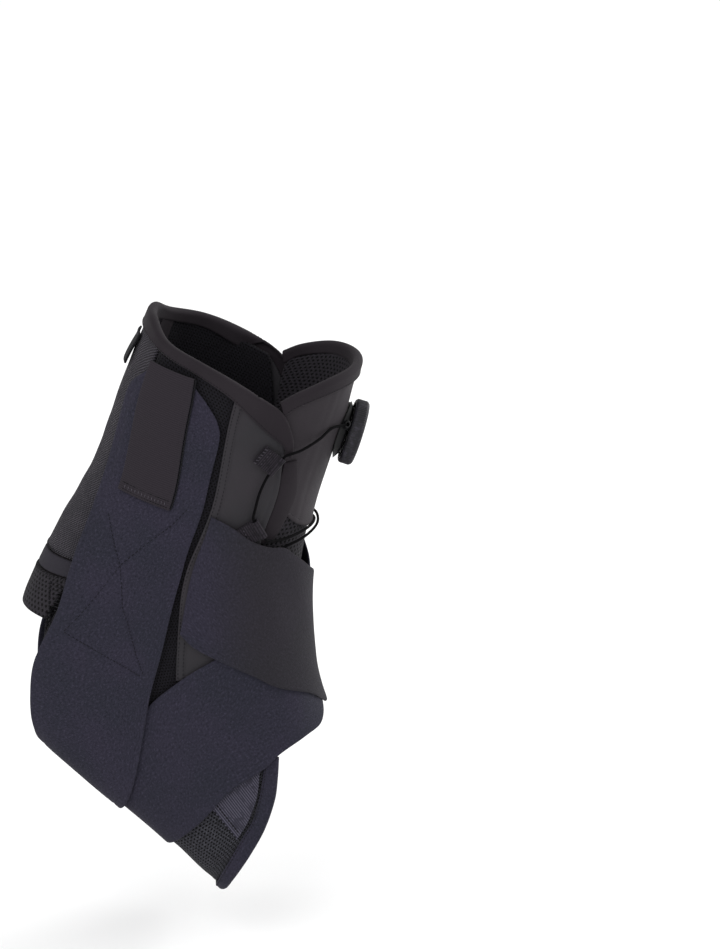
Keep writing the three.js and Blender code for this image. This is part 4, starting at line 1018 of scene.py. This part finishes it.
def laceStrand(side, lift):  # the route of one side, from the dial to the lower guide on the other side
    def rows(name, mirror):
        return [onForm(row[0], mirror * row[1], row[2] + lift * (row[3] if len(row) > 3 else 0))[0][0]
                for row in lacing[name]]

    def bore(place, mirror):
        start, end = guideFrame(guides["bores"][place], mirror)[:2]
        return [start + (end - start) * share for share in (-0.12, 0.02, 0.5, 0.98, 1.12)]
    exits = [dialSpot(side * reach * math.cos(rise), reach * math.sin(rise), dial["baseTop"] / 2)
             for reach in dial["mouths"]]
    return (exits + rows("toUpper", side) + bore("upper", side) + rows("toMiddle", side) + bore("middle", side)
            + rows("crossing", side) + bore("lower", -side) + rows("back", -side))


def smoothRoute(points, spacing):  # evenly smooth route through uneven points
    points = np.array([2 * points[0] - points[1], *points, 2 * points[-1] - points[-2]])
    gaps = np.maximum(np.linalg.norm(np.diff(points, axis=0), axis=1) ** 0.5, 1e-6)
    route = [points[1]]
    for k in range(1, len(points) - 2):
        a, b, c, d = points[k - 1:k + 3]
        u, v, w = gaps[k - 1:k + 2]
        leave = ((b - a) / u - (c - a) / (u + v) + (c - b) / v) * v
        arrive = ((c - b) / v - (d - b) / (v + w) + (d - c) / w) * v
        steps = max(1, round(np.linalg.norm(c - b) / spacing))
        for t in np.arange(1, steps + 1) / steps:
            bend = (2 * b - 2 * c + leave + arrive) * t + (3 * c - 3 * b - 2 * leave - arrive)
            route.append((bend * t + leave) * t + b)
    return np.array(route)


firstStrand, secondStrand = laceStrand(-1, 0), laceStrand(1, lacing["overlap"])
route = smoothRoute(firstStrand[:-1] + secondStrand[::-1], lacing["spacing"])
ahead = np.gradient(route, axis=0)
ahead /= np.linalg.norm(ahead, axis=1)[:, None]
normals = [np.array([0, 0, 1.0])]
for direction in ahead:
    last = normals[-1] - direction * normals[-1].dot(direction)
    normals.append(last / np.linalg.norm(last))
normals = np.array(normals[1:])
beside = np.cross(ahead, normals)
laceRun = runAlong(route)
bm, i, turn = ringGrid(len(route), lacing["sides"])
ring = normals[i] * np.cos(turn)[:, None] + beside[i] * np.sin(turn)[:, None]
shape(bm, route[i] + ring * lacing["radius"], np.stack([laceRun[i], turn * lacing["flatWidth"]], 1))
bmesh.ops.remove_doubles(bm, verts=bm.verts[:], dist=1e-6)
bmesh.ops.holes_fill(bm, edges=[e for e in bm.edges if e.is_boundary], sides=12)
bmesh.ops.recalc_face_normals(bm, faces=bm.faces[:])
piece = newPiece("lace_cord", bm, "cord")
standIn(piece, "lace")
print(f"stage: dial and lace, {laceRun[-1]:.0f} mm of lace")

# studio
makeCamera()
for name, light in studio["lights"].items(): makeLight(name, *light)
world = bpy.data.worlds.new("studio")
world.use_nodes = True
world.node_tree.nodes["Background"].inputs["Color"].default_value = (1, 1, 1, 1)
world.node_tree.nodes["Background"].inputs["Strength"].default_value = studio["world"]
bpy.context.scene.world = world
bm = bmesh.new()
bmesh.ops.create_grid(bm, x_segments=1, y_segments=1, size=studio["floorHalf"])
bmesh.ops.translate(bm, vec=(0, 0, studio["floor"]), verts=bm.verts[:])
floorMesh = bpy.data.meshes.new("floor")
bm.to_mesh(floorMesh)
bm.free()
floor = bpy.data.objects.new("floor", floorMesh)
bpy.context.scene.collection.objects.link(floor)
floorFinish = Finish("pale floor", roughness=0.6)
floorMesh.materials.append(floorFinish.finish((0.9, 0.9, 0.9)))
bpy.context.scene.view_settings.view_transform = "Standard"
print("stage: studio")
